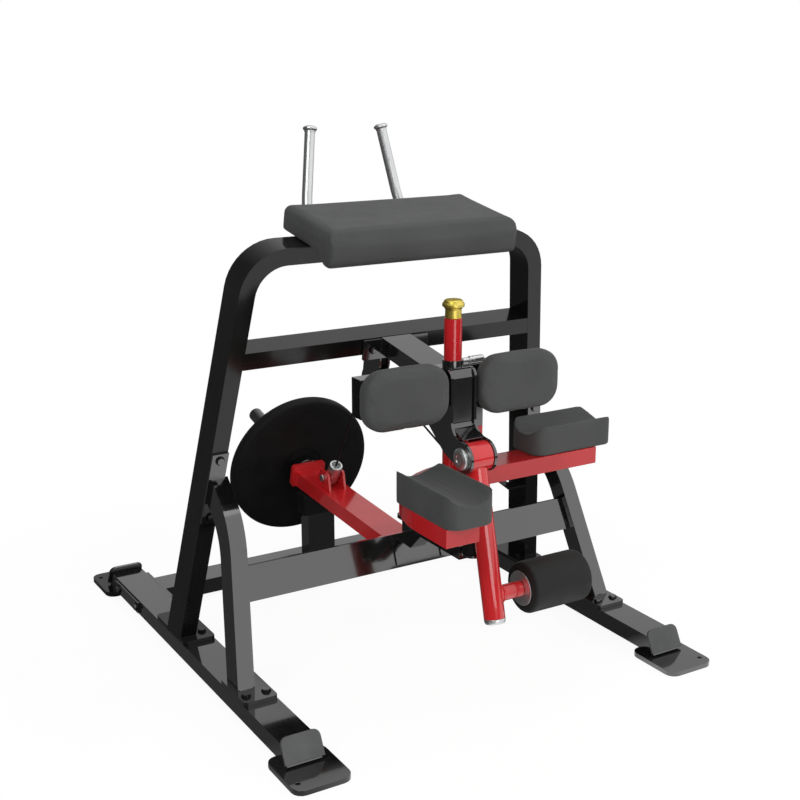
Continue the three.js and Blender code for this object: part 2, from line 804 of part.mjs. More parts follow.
const braceFlange = alongY([
  new THREE.Vector2(braceFlangeX(braceFlangeLow) - tubeThin, braceFlangeLow),
  new THREE.Vector2(braceFlangeX(braceFlangeLow), braceFlangeLow),
  new THREE.Vector2(braceFlangeX(braceFlangeLow + braceFlangeTall), braceFlangeLow + braceFlangeTall),
  new THREE.Vector2(braceFlangeX(braceFlangeLow + braceFlangeTall) - tubeThin,
    braceFlangeLow + braceFlangeTall),
], -seat - flangeThick, -seat).applyMatrix4(hoopFrame.matrix);
const behindInner = alongY(rectangle(-railX * 2, railX * 2, -railX, railX * 3),
  -seat - flangeThick, railX * 2).applyMatrix4(hoopFrame.matrix);
const flangeGrip = flangeThick + seat + tubeWall;
const flangeBolt = (x, w) => bolt(flangeGrip).rotateX(Math.PI / 2).translate(x, -seat - flangeThick, w);
const braceRight = join(
  cut(join(cut(braceBar(0), belowBrace, behindFlange), braceFoot, braceFlange),
    cut(braceBar(tubeWall), behindInner)),
  ...braceBoltPlaces.map(([x, y]) => bolt(railBoltGrip).translate(x, y, footBoltSeat)),
  ...braceFlangeBolts.map((w) => flangeBolt(legCentre(w), w).applyMatrix4(hoopFrame.matrix)),
);
add('brace_right', braceRight, 'frame');
add('brace_left', mirrored(braceRight), 'frame');

// ---- lower beam with ribs and ears ----
const lowBeamAt = new THREE.Matrix4().makeRotationX(-lowBeamLean)
  .setPosition(0, lowBeamY, lowBeamZ);
const beamBox = (grow, half) => alongX(rectangle(-tubeThin / 2 - grow, tubeThin / 2 + grow,
  -tubeWide / 2 - grow, tubeWide / 2 + grow), -half, half);
const braceInnerCut = (sign) => {
  const slab = leanIn(alongX(rectangle(-railX, railX, -railX, railX * 2),
    braceFootX - tubeThin - seat, braceFootX * 2));
  return sign > 0 ? slab : mirrored(slab);
};
const earPlate = (x) => cut(join(
  alongX(circle(leverY, leverZ, earRadius, midSteps), x - earThick / 2, x + earThick / 2),
  alongX(rounded([
    [leverY, leverZ - earRadius], [leverY, leverZ + earRadius],
    [leverY - earReach - weld, leverZ + earTall / 2], [leverY - earReach - weld, leverZ - earTall / 2],
  ]), x - earThick / 2, x + earThick / 2),
), beamBox(-tubeWall / 2, railX).applyMatrix4(lowBeamAt),
alongX(circle(leverY, leverZ, shaftRadius + boreSlack, midSteps), x - overrun, x + overrun));
const rib = (x) => alongX(rectangle(-tubeThin / 2 - ribProud, -tubeThin / 2 + tubeWall / 2,
  -ribTall / 2, ribTall / 2), x - ribThick / 2, x + ribThick / 2).applyMatrix4(lowBeamAt);
const lowBar = cut(beamBox(0, braceFootX).applyMatrix4(lowBeamAt), braceInnerCut(1), braceInnerCut(-1));
add('lower_beam', cut(join(lowBar, rib(ribX), rib(-ribX), earPlate(earX), earPlate(-earX)),
  beamBox(-tubeWall, braceFootX * 2).applyMatrix4(lowBeamAt)), 'frame');

// ---- stop strut and rubber for the arm ----
const stopTop = stopTongueLow + stopTongueThick + seat + stopTall;
const armBackAt = (z) => hubY - (hubZ - z) * Math.tan(armLean) + armRadius / Math.cos(armLean);
const stopY = armBackAt(stopTop) + seat + stopRadius;
const stopStrutFront = stopY + stopRadius + seat;
const stopBody = join(
  alongX(rounded([
    [stopStrutFront, stopStrutLow + stopStrutTall], [stopStrutFront, stopStrutLow],
    [lowBeamY - tubeWide / 2 - stopGussetLong / 2, stopStrutLow],
    [lowBeamY - tubeThin / 2, stopGussetLow], [lowBeamY + tubeThin / 2, stopGussetLow],
    [lowBeamY + tubeThin / 2, stopStrutLow + stopStrutTall],
  ]), -stopStrutWide / 2, stopStrutWide / 2),
  alongX(rectangle(stopY, stopStrutFront + weld, stopTongueLow, stopTongueLow + stopTongueThick),
    -stopStrutWide / 2, stopStrutWide / 2),
  alongZ(circle(0, stopY, stopRadius), stopTongueLow, stopTongueLow + stopTongueThick),
);
add('stop_strut', cut(stopBody, beamBox(seat, railX).applyMatrix4(lowBeamAt),
  alongX(rectangle(lowBeamY, lowBeamY + tubeWide, stopGussetLow - tubeWide, stopGussetLow + tubeThin / 2),
    -railX, railX)), 'frame');
const rubberRound = stopRadius / 5;
add('stop_rubber', turned([
  [0, 0], [stopRadius - rubberRound / 2, 0], [stopRadius, rubberRound],
  [stopRadius, stopTall - rubberRound], [stopRadius - rubberRound, stopTall], [0, stopTall],
]), 'rubber').position.set(0, stopY, stopTongueLow + stopTongueThick + seat);

// ---- upper beam, forward strut and its flange ----
const legSlab = (sign) => {
  const slab = alongY([
    new THREE.Vector2(legInner - seat + hoopTaper * railX, -railX),
    new THREE.Vector2(legInner * 2, -railX),
    new THREE.Vector2(legInner * 2, hoopTop * 2),
    new THREE.Vector2(legInner - seat - hoopTaper * hoopTop * 2, hoopTop * 2),
  ], -overrun, tubeWide + overrun);
  return sign > 0 ? slab : mirrored(slab);
};
const highBeamTop = highBeamLow + tubeThin;
add('upper_beam', cut(alongX(rectangle(0, tubeWide, highBeamLow, highBeamTop), -legInner, legInner),
  alongX(rectangle(tubeWall, tubeWide - tubeWall, highBeamLow + tubeWall, highBeamTop - tubeWall),
    -railX, railX), legSlab(1), legSlab(-1),
  frontHole(strutBoltX, strutBoltW), frontHole(-strutBoltX, strutBoltW)), 'frame', hoopFrame);

const beyondStrut = alongY(rectangle(-railX, railX, -railX, hoopTop * 2), strutFrontY - railX, strutFrontY)
  .applyMatrix4(toHoop);
const beyondStrutInner = beyondStrut.clone()
  .translate(0, tubeWall, 0);
const strutReach = -strutFrontY;
const strutBody = join(
  alongY(rectangle(-tubeWide / 2, tubeWide / 2, highBeamLow, highBeamTop), -strutReach, -seat - flangeThick / 2),
  alongY(rectangle(-strutFlangeWide / 2, strutFlangeWide / 2, strutFlangeLow,
    strutFlangeLow + strutFlangeTall, tubeWall), -seat - flangeThick, -seat),
);
const strutHollow = cut(alongY(rectangle(-tubeWide / 2 + tubeWall, tubeWide / 2 - tubeWall,
  highBeamLow + tubeWall, strutFlangeLow + strutFlangeTall - tubeWall), -strutReach, overrun),
beyondStrutInner);
add('forward_strut', join(cut(strutBody, beyondStrut, strutHollow),
  flangeBolt(strutBoltX, strutBoltW), flangeBolt(-strutBoltX, strutBoltW)), 'frame', hoopFrame);

// ---- cheeks and cover ----
const hubCircle = (radius) => circle(hubY, hubZ, radius);
function cheek() {
  const body = join(
    alongX(hubCircle(cheekNose), cheekX - cheekThick / 2, cheekX + cheekThick / 2),
    alongX(rounded([
      [hubY, hubZ + cheekNose], [hubY, hubZ - cheekNose / 2],
      [hubY + cheekNose * 0.8, hubZ - cheekNose * 0.6],
      [cheekLowMidY, cheekLowMidZ, cheekNose], [cheekBackY, cheekLowBack],
      [cheekBackY, cheekTop, cheekCorner], [cheekFrontY, cheekTop, cheekCorner],
      [cheekFrontY, cheekThroatZ, cheekNose],
    ]), cheekX - cheekThick / 2, cheekX + cheekThick / 2),
  );
  return cut(body, alongX(hubCircle(axleRadius + boreSlack), 0, cheekX * 2));
}
const cheekRight = cheek();
add('cheek_left', mirrored(cheekRight), 'frame');
// The right cheek is trimmed to a neck where the post's box rises through.
add('cheek_right', cut(cheekRight, alongX(rectangle(cheekNeckY, cheekBackY + overrun,
  hubZ - cheekNose * 2, cheekNeckTop), 0, cheekX * 2)), 'frame');

const coverHalf = cheekX - cheekThick / 2 - boreSlack;
const coverLine = [
  [hubY + coverLipBack, hubZ + barrelRadius + coverThick / 2 + coverLipGap], [coverY, coverLow, coverBend],
  [coverY, coverTop, coverBend], [coverY + coverTopReach, coverTop + coverBend]];
function plateAlong(line, thickness, bend) {
  const way = (a, b) => new THREE.Vector2(b[0] - a[0], b[1] - a[1]).normalize();
  const offset = (sign) => line.map((point, i) => {
    const before = i > 0 ? way(line[i - 1], point) : way(point, line[i + 1]);
    const after = i + 1 < line.length ? way(point, line[i + 1]) : before;
    const normal = new THREE.Vector2(before.y + after.y, -before.x - after.x).normalize();
    const stretch = thickness / 2 / normal.dot(new THREE.Vector2(before.y, -before.x));
    const inner = Math.sign(before.cross(after)) * sign < 0;
    const radius = i > 0 && i + 1 < line.length ? bend + (inner ? -1 : 1) * thickness / 2 : 0;
    return [point[0] + sign * normal.x * stretch, point[1] + sign * normal.y * stretch, radius];
  });
  return rounded([...offset(1), ...offset(-1).reverse()]);
}
add('hub_cover', alongX(plateAlong(coverLine, coverThick, coverBend), -coverHalf, coverHalf), 'frame');

// ---- thigh bars, boards and pads ----
const thighBarStart = cheekX + cheekThick / 2 + seat;
const thighBack = thighBarY + tubeThin / 2;
const thighFront = thighBarY - tubeThin / 2;
const thighMidX = (thighPadInner + thighPadOuter) / 2;
const thighMidZ = (thighPadLow + thighPadHigh) / 2;
const thighHalfX = (thighPadOuter - thighPadInner) / 2;
const thighHalfZ = (thighPadHigh - thighPadLow) / 2;
const barShape = (inset) => rectangle(thighFront + inset, thighBack - inset, thighBarLow + inset,
  thighBarLow + thighBarTall - inset);
const thighBar = cut(alongX(barShape(0), thighBarStart, thighBarEnd),
  alongX(barShape(tubeWall), thighBarStart - overrun, thighBarEnd - tubeWall));
add('thigh_bar_right', thighBar, 'frame');
add('thigh_bar_left', mirrored(thighBar), 'frame');
const thighBoardFront = thighFront - seat - thighBoardThick;
const thighPadLevels = [
  [thighPadThick * 0.18, 0], [0, 0.16], [thighPadThick * 0.03, 0.45], [thighPadThick * 0.05, 0.6],
  [thighPadThick * 0.18, 0.8], [thighPadThick * 0.42, 0.91], [thighPadThick * 0.8, 0.97],
  [thighPadThick * 1.2, 1],
];
const thighCrown = () => thighPadThick;
const thighPad = cushion(thighHalfX, thighHalfZ, thighPadCorner, thighPadLevels, thighCrown)
  .rotateX(Math.PI / 2);
sides.forEach(([side, sign]) => {
  add(`thigh_board_${side}`, alongY(rectangle(-thighHalfX + thighBoardInset, thighHalfX - thighBoardInset,
    -thighHalfZ + thighBoardInset, thighHalfZ - thighBoardInset, thighPadCorner - thighBoardInset),
  thighBoardFront, thighFront - seat), 'board').position.set(sign * thighMidX, 0, thighMidZ);
  add(`thigh_pad_${side}`, thighPad.clone(), 'charcoal')
    .position.set(sign * thighMidX, thighBoardFront - seat, thighMidZ);
});

// ---- chest board and pad ----
add('chest_board', alongZ(rectangle(-chestBoardHalf, chestBoardHalf, chestBoardFront, chestBoardBack,
  chestBoardThick), hoopTop + seat, hoopTop + seat + chestBoardThick), 'board', hoopFrame);

// The pad's side view: a flat top, back and bottom, and a front roll over the hoop's edge.
const chestTop = chestLow + chestThick;
const chestSide = rounded([
  [chestFront, chestLow - chestRollDrop, chestRollRound],
  [chestRollBack - chestRollSlope, chestLow - chestRollDrop, chestEdgeRound],
  [chestRollBack, chestLow],
  [chestBack, chestLow, chestEdgeRound],
  [chestBack, chestTop, chestEdgeRound],
  [chestFront + chestRidgeBack, chestTop, chestRidgeRound],
  [chestFront, chestTop - chestRidgeDrop, chestRidgeRound],
]);
const chestPlan = rectangle(-chestHalf, chestHalf, chestFront, chestBack, chestEdgeRound);
const chestEndView = rounded([
  [-chestHalf, chestLow - chestRollDrop, chestRidgeRound], [chestHalf, chestLow - chestRollDrop, chestRidgeRound],
  [chestHalf, chestTop, chestEndRound], [-chestHalf, chestTop, chestEndRound],
]);
const chestRecess = alongZ(rectangle(-chestBoardHalf - seat, chestBoardHalf + seat, chestBoardFront - seat,
  chestBoardBack + seat, chestBoardThick), hoopTop - overrun, chestLow + chestBoardThick + seat);
add('chest_pad', cut(common(
  alongX(chestSide, -chestHalf, chestHalf),
  alongZ(chestPlan, chestLow - chestRollDrop - overrun, chestTop + overrun),
  alongY(chestEndView, chestFront - overrun, chestBack + overrun),
), chestRecess), 'charcoal', hoopFrame);

// ---- hand grips ----
const gripBase = new THREE.Vector3(gripX, tubeWide + seat, hoopTop - tubeThin / 2)
  .applyMatrix4(hoopFrame.matrix);
const gripWay = new THREE.Vector3(0, Math.cos(hoopLean), Math.sin(hoopLean));
const gripEnd = new THREE.Vector3(gripTopX, gripTopY, gripTopZ);
const gripMid = new THREE.Vector3(gripMidX, gripMidY, gripMidZ);
const gripUp = gripEnd.clone().sub(gripMid).normalize();
const gripBar = roundTube([
  gripBase, gripBase.clone().add(gripWay.clone().multiplyScalar(gripBackRun)), gripMid, gripEnd,
], gripBend / 2, gripRadius, smallSteps + 2, smallSteps + 2);
const turnTo = (way) => new THREE.Matrix4().makeRotationFromQuaternion(
  new THREE.Quaternion().setFromUnitVectors(unitZ, way));
const gripFlange = turned([[0, 0], [gripFlangeRadius, 0], [gripFlangeRadius, gripFlangeThick],
  [0, gripFlangeThick]], midSteps).applyMatrix4(turnTo(gripWay)).translate(...gripBase.toArray());
const gripStop = turned([[0, 0], [gripEndRadius, 0], [gripEndRadius, gripEndThick], [0, gripEndThick]], midSteps)
  .applyMatrix4(turnTo(gripUp)).translate(...gripEnd.clone()
    .sub(gripUp.clone().multiplyScalar(gripEndThick / 2)).toArray());
const grip = join(gripBar, gripFlange, gripStop);
add('hand_grip_right', grip, 'chrome');
add('hand_grip_left', mirrored(grip), 'chrome');

// ---- hub axle with domed caps ----
const cheekOuter = cheekX + cheekThick / 2 + seat;
const capDome = axleCapThick / 3;
const axleProfile = (way) => [
  [axleRadius, way * cheekOuter], [axleCapRadius, way * cheekOuter],
  [axleCapRadius, way * (cheekOuter + axleCapThick - capDome)],
  [axleCapRadius - capDome, way * (cheekOuter + axleCapThick)],
];
add('hub_axle', turnedX([
  [0, -cheekOuter - axleCapThick], ...axleProfile(-1).reverse(), ...axleProfile(1),
  [0, cheekOuter + axleCapThick],
]), 'steel').position.copy(hub);

// ---- swinging arm, in its own leaning frame with the hub at the origin ----
const armCapStart = -armLong + armCapThick;
const armOuter = join(
  turnedX([[0, -barrelWide / 2], [barrelRadius, -barrelWide / 2], [barrelRadius, barrelWide / 2],
    [0, barrelWide / 2]], roundSteps + smallSteps),
  turned([[0, armCapStart + seat], [armRadius, armCapStart + seat], [armRadius, 0], [0, 0]]),
  turnedX([[0, 0], [stubRadius, 0], [stubRadius, stubEnd], [spindleRadius, stubEnd],
    [spindleRadius, spindleEnd], [0, spindleEnd]]).translate(0, 0, -rollerDown),
);
const armInner = turned([[0, -armLong], [armRadius - tubeWall, -armLong],
  [armRadius - tubeWall, -barrelRadius], [0, -barrelRadius]], smallSteps);
const armCore = cut(armInner, turnedX([[0, 0], [stubRadius, 0], [stubRadius, stubEnd], [0, stubEnd]])
  .translate(0, 0, -rollerDown));
add('swing_arm', cut(armOuter, armCore, turnedX([[0, -barrelWide], [axleRadius + boreSlack, -barrelWide],
  [axleRadius + boreSlack, barrelWide], [0, barrelWide]])), 'red', armFrame);
add('arm_end_cap', turned([[0, -armLong], [armRadius - tubeWall, -armLong],
  [armRadius, -armLong + tubeWall], [armRadius, armCapStart], [0, armCapStart]]), 'steel', armFrame);

const rollerEnd = rollerStart + rollerLong;
const foamInner = rollerCoreRadius + boreSlack;
const foamRise = rollerRound * (1 - Math.SQRT1_2);
const roller = new THREE.Group();
roller.position.set(0, 0, -rollerDown);
armFrame.add(roller);
const discInner = rollerStart + seat + rollerDiscThick;
const foamStart = discInner + seat;
const foamEnd = rollerEnd - rollerDiscThick - seat;
add('roller_foam', cut(turnedX([
  [0, foamStart], [rollerRadius - rollerRound, foamStart],
  [rollerRadius - foamRise, foamStart + foamRise],
  [rollerRadius, foamStart + rollerRound], [rollerRadius, foamEnd - rollerRound],
  [rollerRadius - foamRise, foamEnd - foamRise],
  [rollerRadius - rollerRound, foamEnd], [0, foamEnd],
], roundSteps), turnedX([[0, foamStart - overrun], [foamInner, foamStart - overrun],
  [foamInner, foamEnd + overrun], [0, foamEnd + overrun]])), 'foam', roller);
const coreBore = spindleRadius + boreSlack;
add('roller_core', cut(turnedX([
  [0, rollerStart + seat], [rollerDiscRadius, rollerStart + seat], [rollerDiscRadius, discInner],
  [rollerCoreRadius, discInner], [rollerCoreRadius, rollerEnd - rollerDiscThick],
  [rollerDiscRadius, rollerEnd - rollerDiscThick], [rollerDiscRadius, rollerEnd], [0, rollerEnd],
]), turnedX([[0, 0], [coreBore, 0], [coreBore, spindleEnd], [0, spindleEnd]])), 'steel', roller);
const retainerDome = retainerThick / 3;
add('roller_retainer', cut(turnedX([
  [0, rollerEnd + seat], [retainerRadius, rollerEnd + seat],
  [retainerRadius, spindleEnd + retainerThick - retainerDome],
  [retainerRadius - retainerDome, spindleEnd + retainerThick], [0, spindleEnd + retainerThick],
]), turnedX([[0, 0], [spindleRadius + seat, 0], [spindleRadius + seat, spindleEnd + seat],
  [0, spindleEnd + seat]])), 'steel', roller);

// ---- pulley, its bracket and the cable ----
const pulleyAt = new THREE.Vector3(cableX, pulleyDeep, pulleyUp);
const grooveFloor = pulleyGroove - cableRadius - seat;
const grooveHalf = cableRadius + boreSlack * 2;
add('pulley', cut(turnedX([
  [0, -pulleyHalf], [pulleyRadius, -pulleyHalf], [pulleyRadius, -grooveHalf - boreSlack],
  [grooveFloor, -grooveHalf], [grooveFloor, grooveHalf], [pulleyRadius, grooveHalf + boreSlack],
  [pulleyRadius, pulleyHalf], [0, pulleyHalf],
], roundSteps), turnedX([[0, -overrun], [pulleyBore + boreSlack, -overrun],
  [pulleyBore + boreSlack, overrun], [0, overrun]], smallSteps)), 'rubber', hoopFrame).position.copy(pulleyAt);

const bracketOuter = bracketGap + bracketThick;
const bracketSide = (x) => alongX(rounded([
  [0, highBeamLow - seat], [0, highBeamLow - bracketWide / 2, bracketNose],
  [pulleyDeep - bracketNose, pulleyUp - bracketNose, bracketNose * 0.7],
  [pulleyDeep + bracketNose, pulleyUp - bracketNose, bracketNose * 0.7], [bracketWide, highBeamLow - seat],
]), x - bracketThick / 2, x + bracketThick / 2);
const bracketPin = turnedX([
  [0, -bracketOuter - pinHeadThick], [pinHeadRadius, -bracketOuter - pinHeadThick],
  [pinHeadRadius, -bracketOuter + boreSlack], [pulleyBore, -bracketOuter + boreSlack],
  [pulleyBore, bracketOuter - boreSlack],
  [pinHeadRadius, bracketOuter - boreSlack], [pinHeadRadius, bracketOuter + pinHeadThick],
  [0, bracketOuter + pinHeadThick],
], smallSteps).translate(...pulleyAt.toArray());
const bracketRoof = alongX(rectangle(0, bracketWide, highBeamLow - seat - bracketThick, highBeamLow - seat),
  cableX - bracketOuter, cableX + bracketOuter);
add('pulley_bracket', join(bracketSide(cableX - bracketGap - bracketThick / 2),
  bracketSide(cableX + bracketGap + bracketThick / 2), bracketRoof, bracketPin), 'frame', hoopFrame);

// The cable leaves the barrel's underside, crosses to the pulley's top and drops at its back.
const pulleyWorld = pulleyAt.clone().applyMatrix4(hoopFrame.matrix);
const across = new THREE.Vector2(pulleyWorld.y - hubY, pulleyWorld.z - hubZ);
const crossAngle = across.angle() + Math.asin((wrapRadius + pulleyGroove) / across.length());
const crossNormal = new THREE.Vector2(-Math.sin(crossAngle), Math.cos(crossAngle));
const hubTangent = new THREE.Vector3(cableX, hubY - wrapRadius * crossNormal.x,
  hubZ - wrapRadius * crossNormal.y);
const socketWay = () => {
  const top = new THREE.Vector2(pulleyWorld.y, pulleyWorld.z);
  const pin = new THREE.Vector2(lugPinY, lugPinZ);
  const line = top.clone().sub(pin);
  const angle = line.angle() - Math.asin(pulleyGroove / line.length());
  return new THREE.Vector2(Math.cos(angle), Math.sin(angle));
};
const dropWay = socketWay();
const dropNormalAngle = Math.atan2(-dropWay.x, dropWay.y);
const crossNormalAngle = crossAngle + Math.PI / 2;
const arcSteps = 10;
const runPoints = [hubTangent];
for (let k = 0; k <= arcSteps; k += 1) {
  const angle = crossNormalAngle + (dropNormalAngle - crossNormalAngle) * k / arcSteps;
  runPoints.push(new THREE.Vector3(cableX, pulleyWorld.y + pulleyGroove * Math.cos(angle),
    pulleyWorld.z + pulleyGroove * Math.sin(angle)));
}
function cableTube(points, sides = 8) {
  const path = new THREE.CurvePath();
  points.slice(1).forEach((point, i) => path.add(new THREE.LineCurve3(points[i], point)));
  const rings = points.map((point, i) => {
    const before = points[Math.max(i - 1, 0)];
    const after = points[Math.min(i + 1, points.length - 1)];
    const way = after.clone().sub(before).normalize();
    const side = new THREE.Vector3().crossVectors(way, unitX).normalize();
    const other = new THREE.Vector3().crossVectors(side, way).normalize();
    return Array.from({ length: sides }, (_, k) => {
      const angle = 2 * Math.PI * k / sides;
      return point.clone().addScaledVector(other, cableRadius * Math.cos(angle))
        .addScaledVector(side, cableRadius * Math.sin(angle)).toArray();
    });
  });
  const positions = rings.flat(2);
  const index = [];
  for (let r = 0; r + 1 < rings.length; r += 1) {
    for (let k = 0; k < sides; k += 1) {
      const a = r * sides + k;
      const b = r * sides + (k + 1) % sides;
      index.push(a, b, b + sides, a, b + sides, a + sides);
    }
  }
  const last = (rings.length - 1) * sides;
  for (let k = 1; k + 1 < sides; k += 1) {
    index.push(0, k + 1, k);
    index.push(last, last + k, last + k + 1);
  }
  const geometry = new THREE.BufferGeometry();
  geometry.setAttribute('position', new THREE.BufferAttribute(new Float32Array(positions), 3));
  geometry.setIndex(index);
  return geometry;
}
add('cable_run', cableTube(runPoints), 'cable');

const dropTop = runPoints[runPoints.length - 1].clone();
dropTop.y += seat * -dropWay.x;
dropTop.z -= seat * dropWay.y;
const socketTop = new THREE.Vector3(0, lugPinY + socketLong * dropWay.x, lugPinZ + socketLong * dropWay.y);
const dropEnd = socketTop.clone().add(new THREE.Vector3(0, seat * dropWay.x, seat * dropWay.y));
add('cable_drop', cableTube([dropTop, dropEnd]), 'cable');

const drumPoints = [];
for (let k = 0; k <= arcSteps; k += 1) {
  const angle = drumWrapStart + (drumWrapEnd - drumWrapStart) * k / arcSteps;
  drumPoints.push(new THREE.Vector3(drumCableX, hubY + (wrapRadius + seat) * Math.cos(angle),
    hubZ + (wrapRadius + seat) * Math.sin(angle)));
}
add('drum_cable', cableTube(drumPoints), 'cable');

// ---- weight lever, in its own tilted frame with the shaft at the origin ----
const hornToLever = toLever.clone().multiply(hornFrame.matrix);
const leverBack = leverLong - leverFront;
const beyondPlate = alongY(rectangle(-railX, railX, -railX, railX), -hornPlateThick, railX)
  .applyMatrix4(hornToLever);
const beyondPlateInner = beyondPlate.clone().translate(0, -tubeWall, 0);
const hornPlate = alongY(rectangle(-hornPlateWide / 2, hornPlateWide / 2, -hornPlateTall / 2,
  hornPlateTall / 2, hornPlateThick), -hornPlateThick - overrun / 4, 0).applyMatrix4(hornToLever);
const lug = (x) => alongX(rounded([
  [lugFrontY, lugPinZ - lugNose * 2], [lugBackY, lugPinZ - lugNose * 2],
  [lugBackY - lugNose, lugPinZ + lugNose * 0.9, lugNose * 0.6],
  [lugFrontY + lugNose * 0.6, lugPinZ + lugNose * 0.9, lugNose * 0.6],
]), x - lugThick / 2, x + lugThick / 2).applyMatrix4(toLever);
const lugMid = lugGap / 2 + lugThick / 2;
const pinAxis = new THREE.Vector3(0, lugPinY, lugPinZ).applyMatrix4(toLever);
const pinHole = turnedX([[0, -tubeWide], [pinRadius + boreSlack, -tubeWide],
  [pinRadius + boreSlack, tubeWide], [0, tubeWide]], smallSteps).translate(...pinAxis.toArray());
const leverTube = cut(alongY(rectangle(-tubeWide / 2, tubeWide / 2, -tubeThin / 2, tubeThin / 2),
  -leverFront, leverBack + overrun), beyondPlate);
const leverHollow = cut(alongY(rectangle(-tubeWide / 2 + tubeWall, tubeWide / 2 - tubeWall,
  -tubeThin / 2 + tubeWall, tubeThin / 2 - tubeWall), -leverFront + tubeWall, leverBack), beyondPlateInner);
const shaftBore = turnedX([[0, -tubeWide], [shaftRadius + boreSlack, -tubeWide],
  [shaftRadius + boreSlack, tubeWide], [0, tubeWide]], midSteps);
const lugFoot = alongZ(rectangle(-lugMid - lugThick, lugMid + lugThick, lugFrontY - leverY,
  lugBackY - leverY), tubeThin / 2 - tubeWall / 2 - tubeWide, tubeThin / 2 - tubeWall / 2);
const lugs = cut(join(lug(-lugMid), lug(lugMid)), lugFoot);
add('weight_lever', cut(join(leverTube, hornPlate, lugs), leverHollow, shaftBore, pinHole), 'red', leverFrame);

const bossStart = tubeWide / 2 + seat;
const bossEnd = earX - earThick / 2 - seat;
const shaftCap = earX + earThick / 2 + seat;
const shaftProfile = [
  [shaftRadius, bossStart], [shaftBossRadius, bossStart], [shaftBossRadius, bossEnd],
  [shaftRadius, bossEnd], [shaftRadius, shaftCap], [shaftBossRadius, shaftCap], [shaftBossRadius, shaftEnd],
];
add('lever_shaft', turnedX([[0, -shaftEnd], ...shaftProfile.map(([r, x]) => [r, -x]).reverse(),
  ...shaftProfile, [0, shaftEnd]], midSteps), 'steel').position.set(0, leverY, leverZ);

// Socket turned about the cable's line, forked over the pin, which is part of it.
const dropTurn = Math.atan2(-dropWay.x, dropWay.y);
const socketBody = cut(turned([
  [0, -socketRadius / 2], [socketRadius, -socketRadius / 2], [socketRadius, socketLong - socketRadius / 2],
  [socketRadius - tubeWall, socketLong], [0, socketLong],
], midSteps).rotateX(dropTurn), alongX(circle(0, 0, 0.6 * pinRadius + pinRadius, smallSteps), -overrun * 2, overrun * 2)
  .translate(0, 0, socketLong / 2).rotateX(dropTurn));
const pinOuter = lugMid + lugThick / 2 + seat;
const socketPin = turnedX([
  [0, -pinOuter - pinHeadThick], [pinHeadRadius, -pinOuter - pinHeadThick], [pinHeadRadius, -pinOuter],
  [pinRadius, -pinOuter], [pinRadius, pinOuter], [pinHeadRadius, pinOuter],
  [pinHeadRadius, pinOuter + pinHeadThick], [0, pinOuter + pinHeadThick],
], smallSteps);
add('cable_socket', join(socketBody, socketPin), 'steel').position.set(0, lugPinY, lugPinZ);

const discBore = hornRadius + seat;
const discEnd = discStart + discThick;
add('plate_stop_disc', cut(turnedY([
  [0, discStart], [discRadius - discRound, discStart],
  [discRadius - discRound * (1 - Math.SQRT1_2), discStart + discRound * (1 - Math.SQRT1_2)],
  [discRadius, discStart + discRound], [discRadius, discEnd - discRound],
  [discRadius - discRound * (1 - Math.SQRT1_2), discEnd - discRound * (1 - Math.SQRT1_2)],
  [discRadius - discRound, discEnd], [0, discEnd],
], roundSteps * 2), turnedY([[0, 0], [discBore, 0], [discBore, hornLong], [0, hornLong]])),
'rubber', hornFrame);
const hornEndRound = hornRadius / 6;
add('weight_horn', cut(turnedY([
  [0, seat], [collarRadius, seat], [collarRadius, discStart - seat], [hornRadius, discStart - seat],
  [hornRadius, hornLong - hornEndRound], [hornRadius - hornEndRound, hornLong], [0, hornLong],
]), turnedY([[0, -overrun], [hornRadius - tubeWall * 2, -overrun],
  [hornRadius - tubeWall * 2, hornLong - tubeWall * 2], [0, hornLong - tubeWall * 2]], smallSteps)),
'frame', hornFrame);

// ---- knee platform with its post box, post, cap and guide ----
const platformPlan = (inset) => bentBar(
  new THREE.Vector2(platformLeftX, platformFrontY + inset), new THREE.Vector2(platformLeftX, platformY),
  new THREE.Vector2(platformRight - inset, platformY), tubeWide - 2 * inset, platformBend);
const postHole = alongZ(circle(0, platformY, postRadius + boreSlack), platformTop - seat * 2,
  guideCollarTop + overrun);
const platformTube = alongZ(platformPlan(0), platformLow, platformTop);
const platformHollow = alongZ(platformPlan(tubeWall), platformLow + tubeWall, platformTop - tubeWall);
const platformVent = alongZ(circle(platformLeftX, platformFrontY + tubeWide, boltRadius, smallSteps),
  platformLow - overrun, platformLow + tubeWall * 2);
const postBox = cut(alongZ(rectangle(boxLeft, boxRight, boxY - boxDeep / 2, boxY + boxDeep / 2, weld),
  platformTop - tubeWall / 2, boxTop),
alongZ(circle(0, platformY, postRadius + boreSlack), platformTop, boxTop + overrun));
add('knee_platform', cut(join(platformTube, postBox), platformHollow, platformVent), 'red');
add('lift_post', cut(alongZ(circle(0, platformY, postRadius), platformTop + seat, postTop),
  alongZ(circle(0, platformY, postRadius - tubeWall), platformLow, postTop + overrun)), 'red');
const lip = tubeWall / 2;
const capHeadLow = postCapTall - postCapHead;
add('post_cap', turned([
  [0, seat], [postCapLip, seat], [postCapLip, lip], [postCapNeck, lip * 4],
  [postCapNeck, capHeadLow - lip * 2], [postCapFlange - lip, capHeadLow + lip],
  [postCapFlange, capHeadLow + lip * 3], [postCapFlange, postCapTall - lip * 4],
  [postCapLip, postCapTall], [postCapNeck - lip, postCapTall], [postCapNeck - lip * 2, postCapTall - lip],
  [0, postCapTall - lip],
]), 'gold').position.set(0, platformY, postTop);

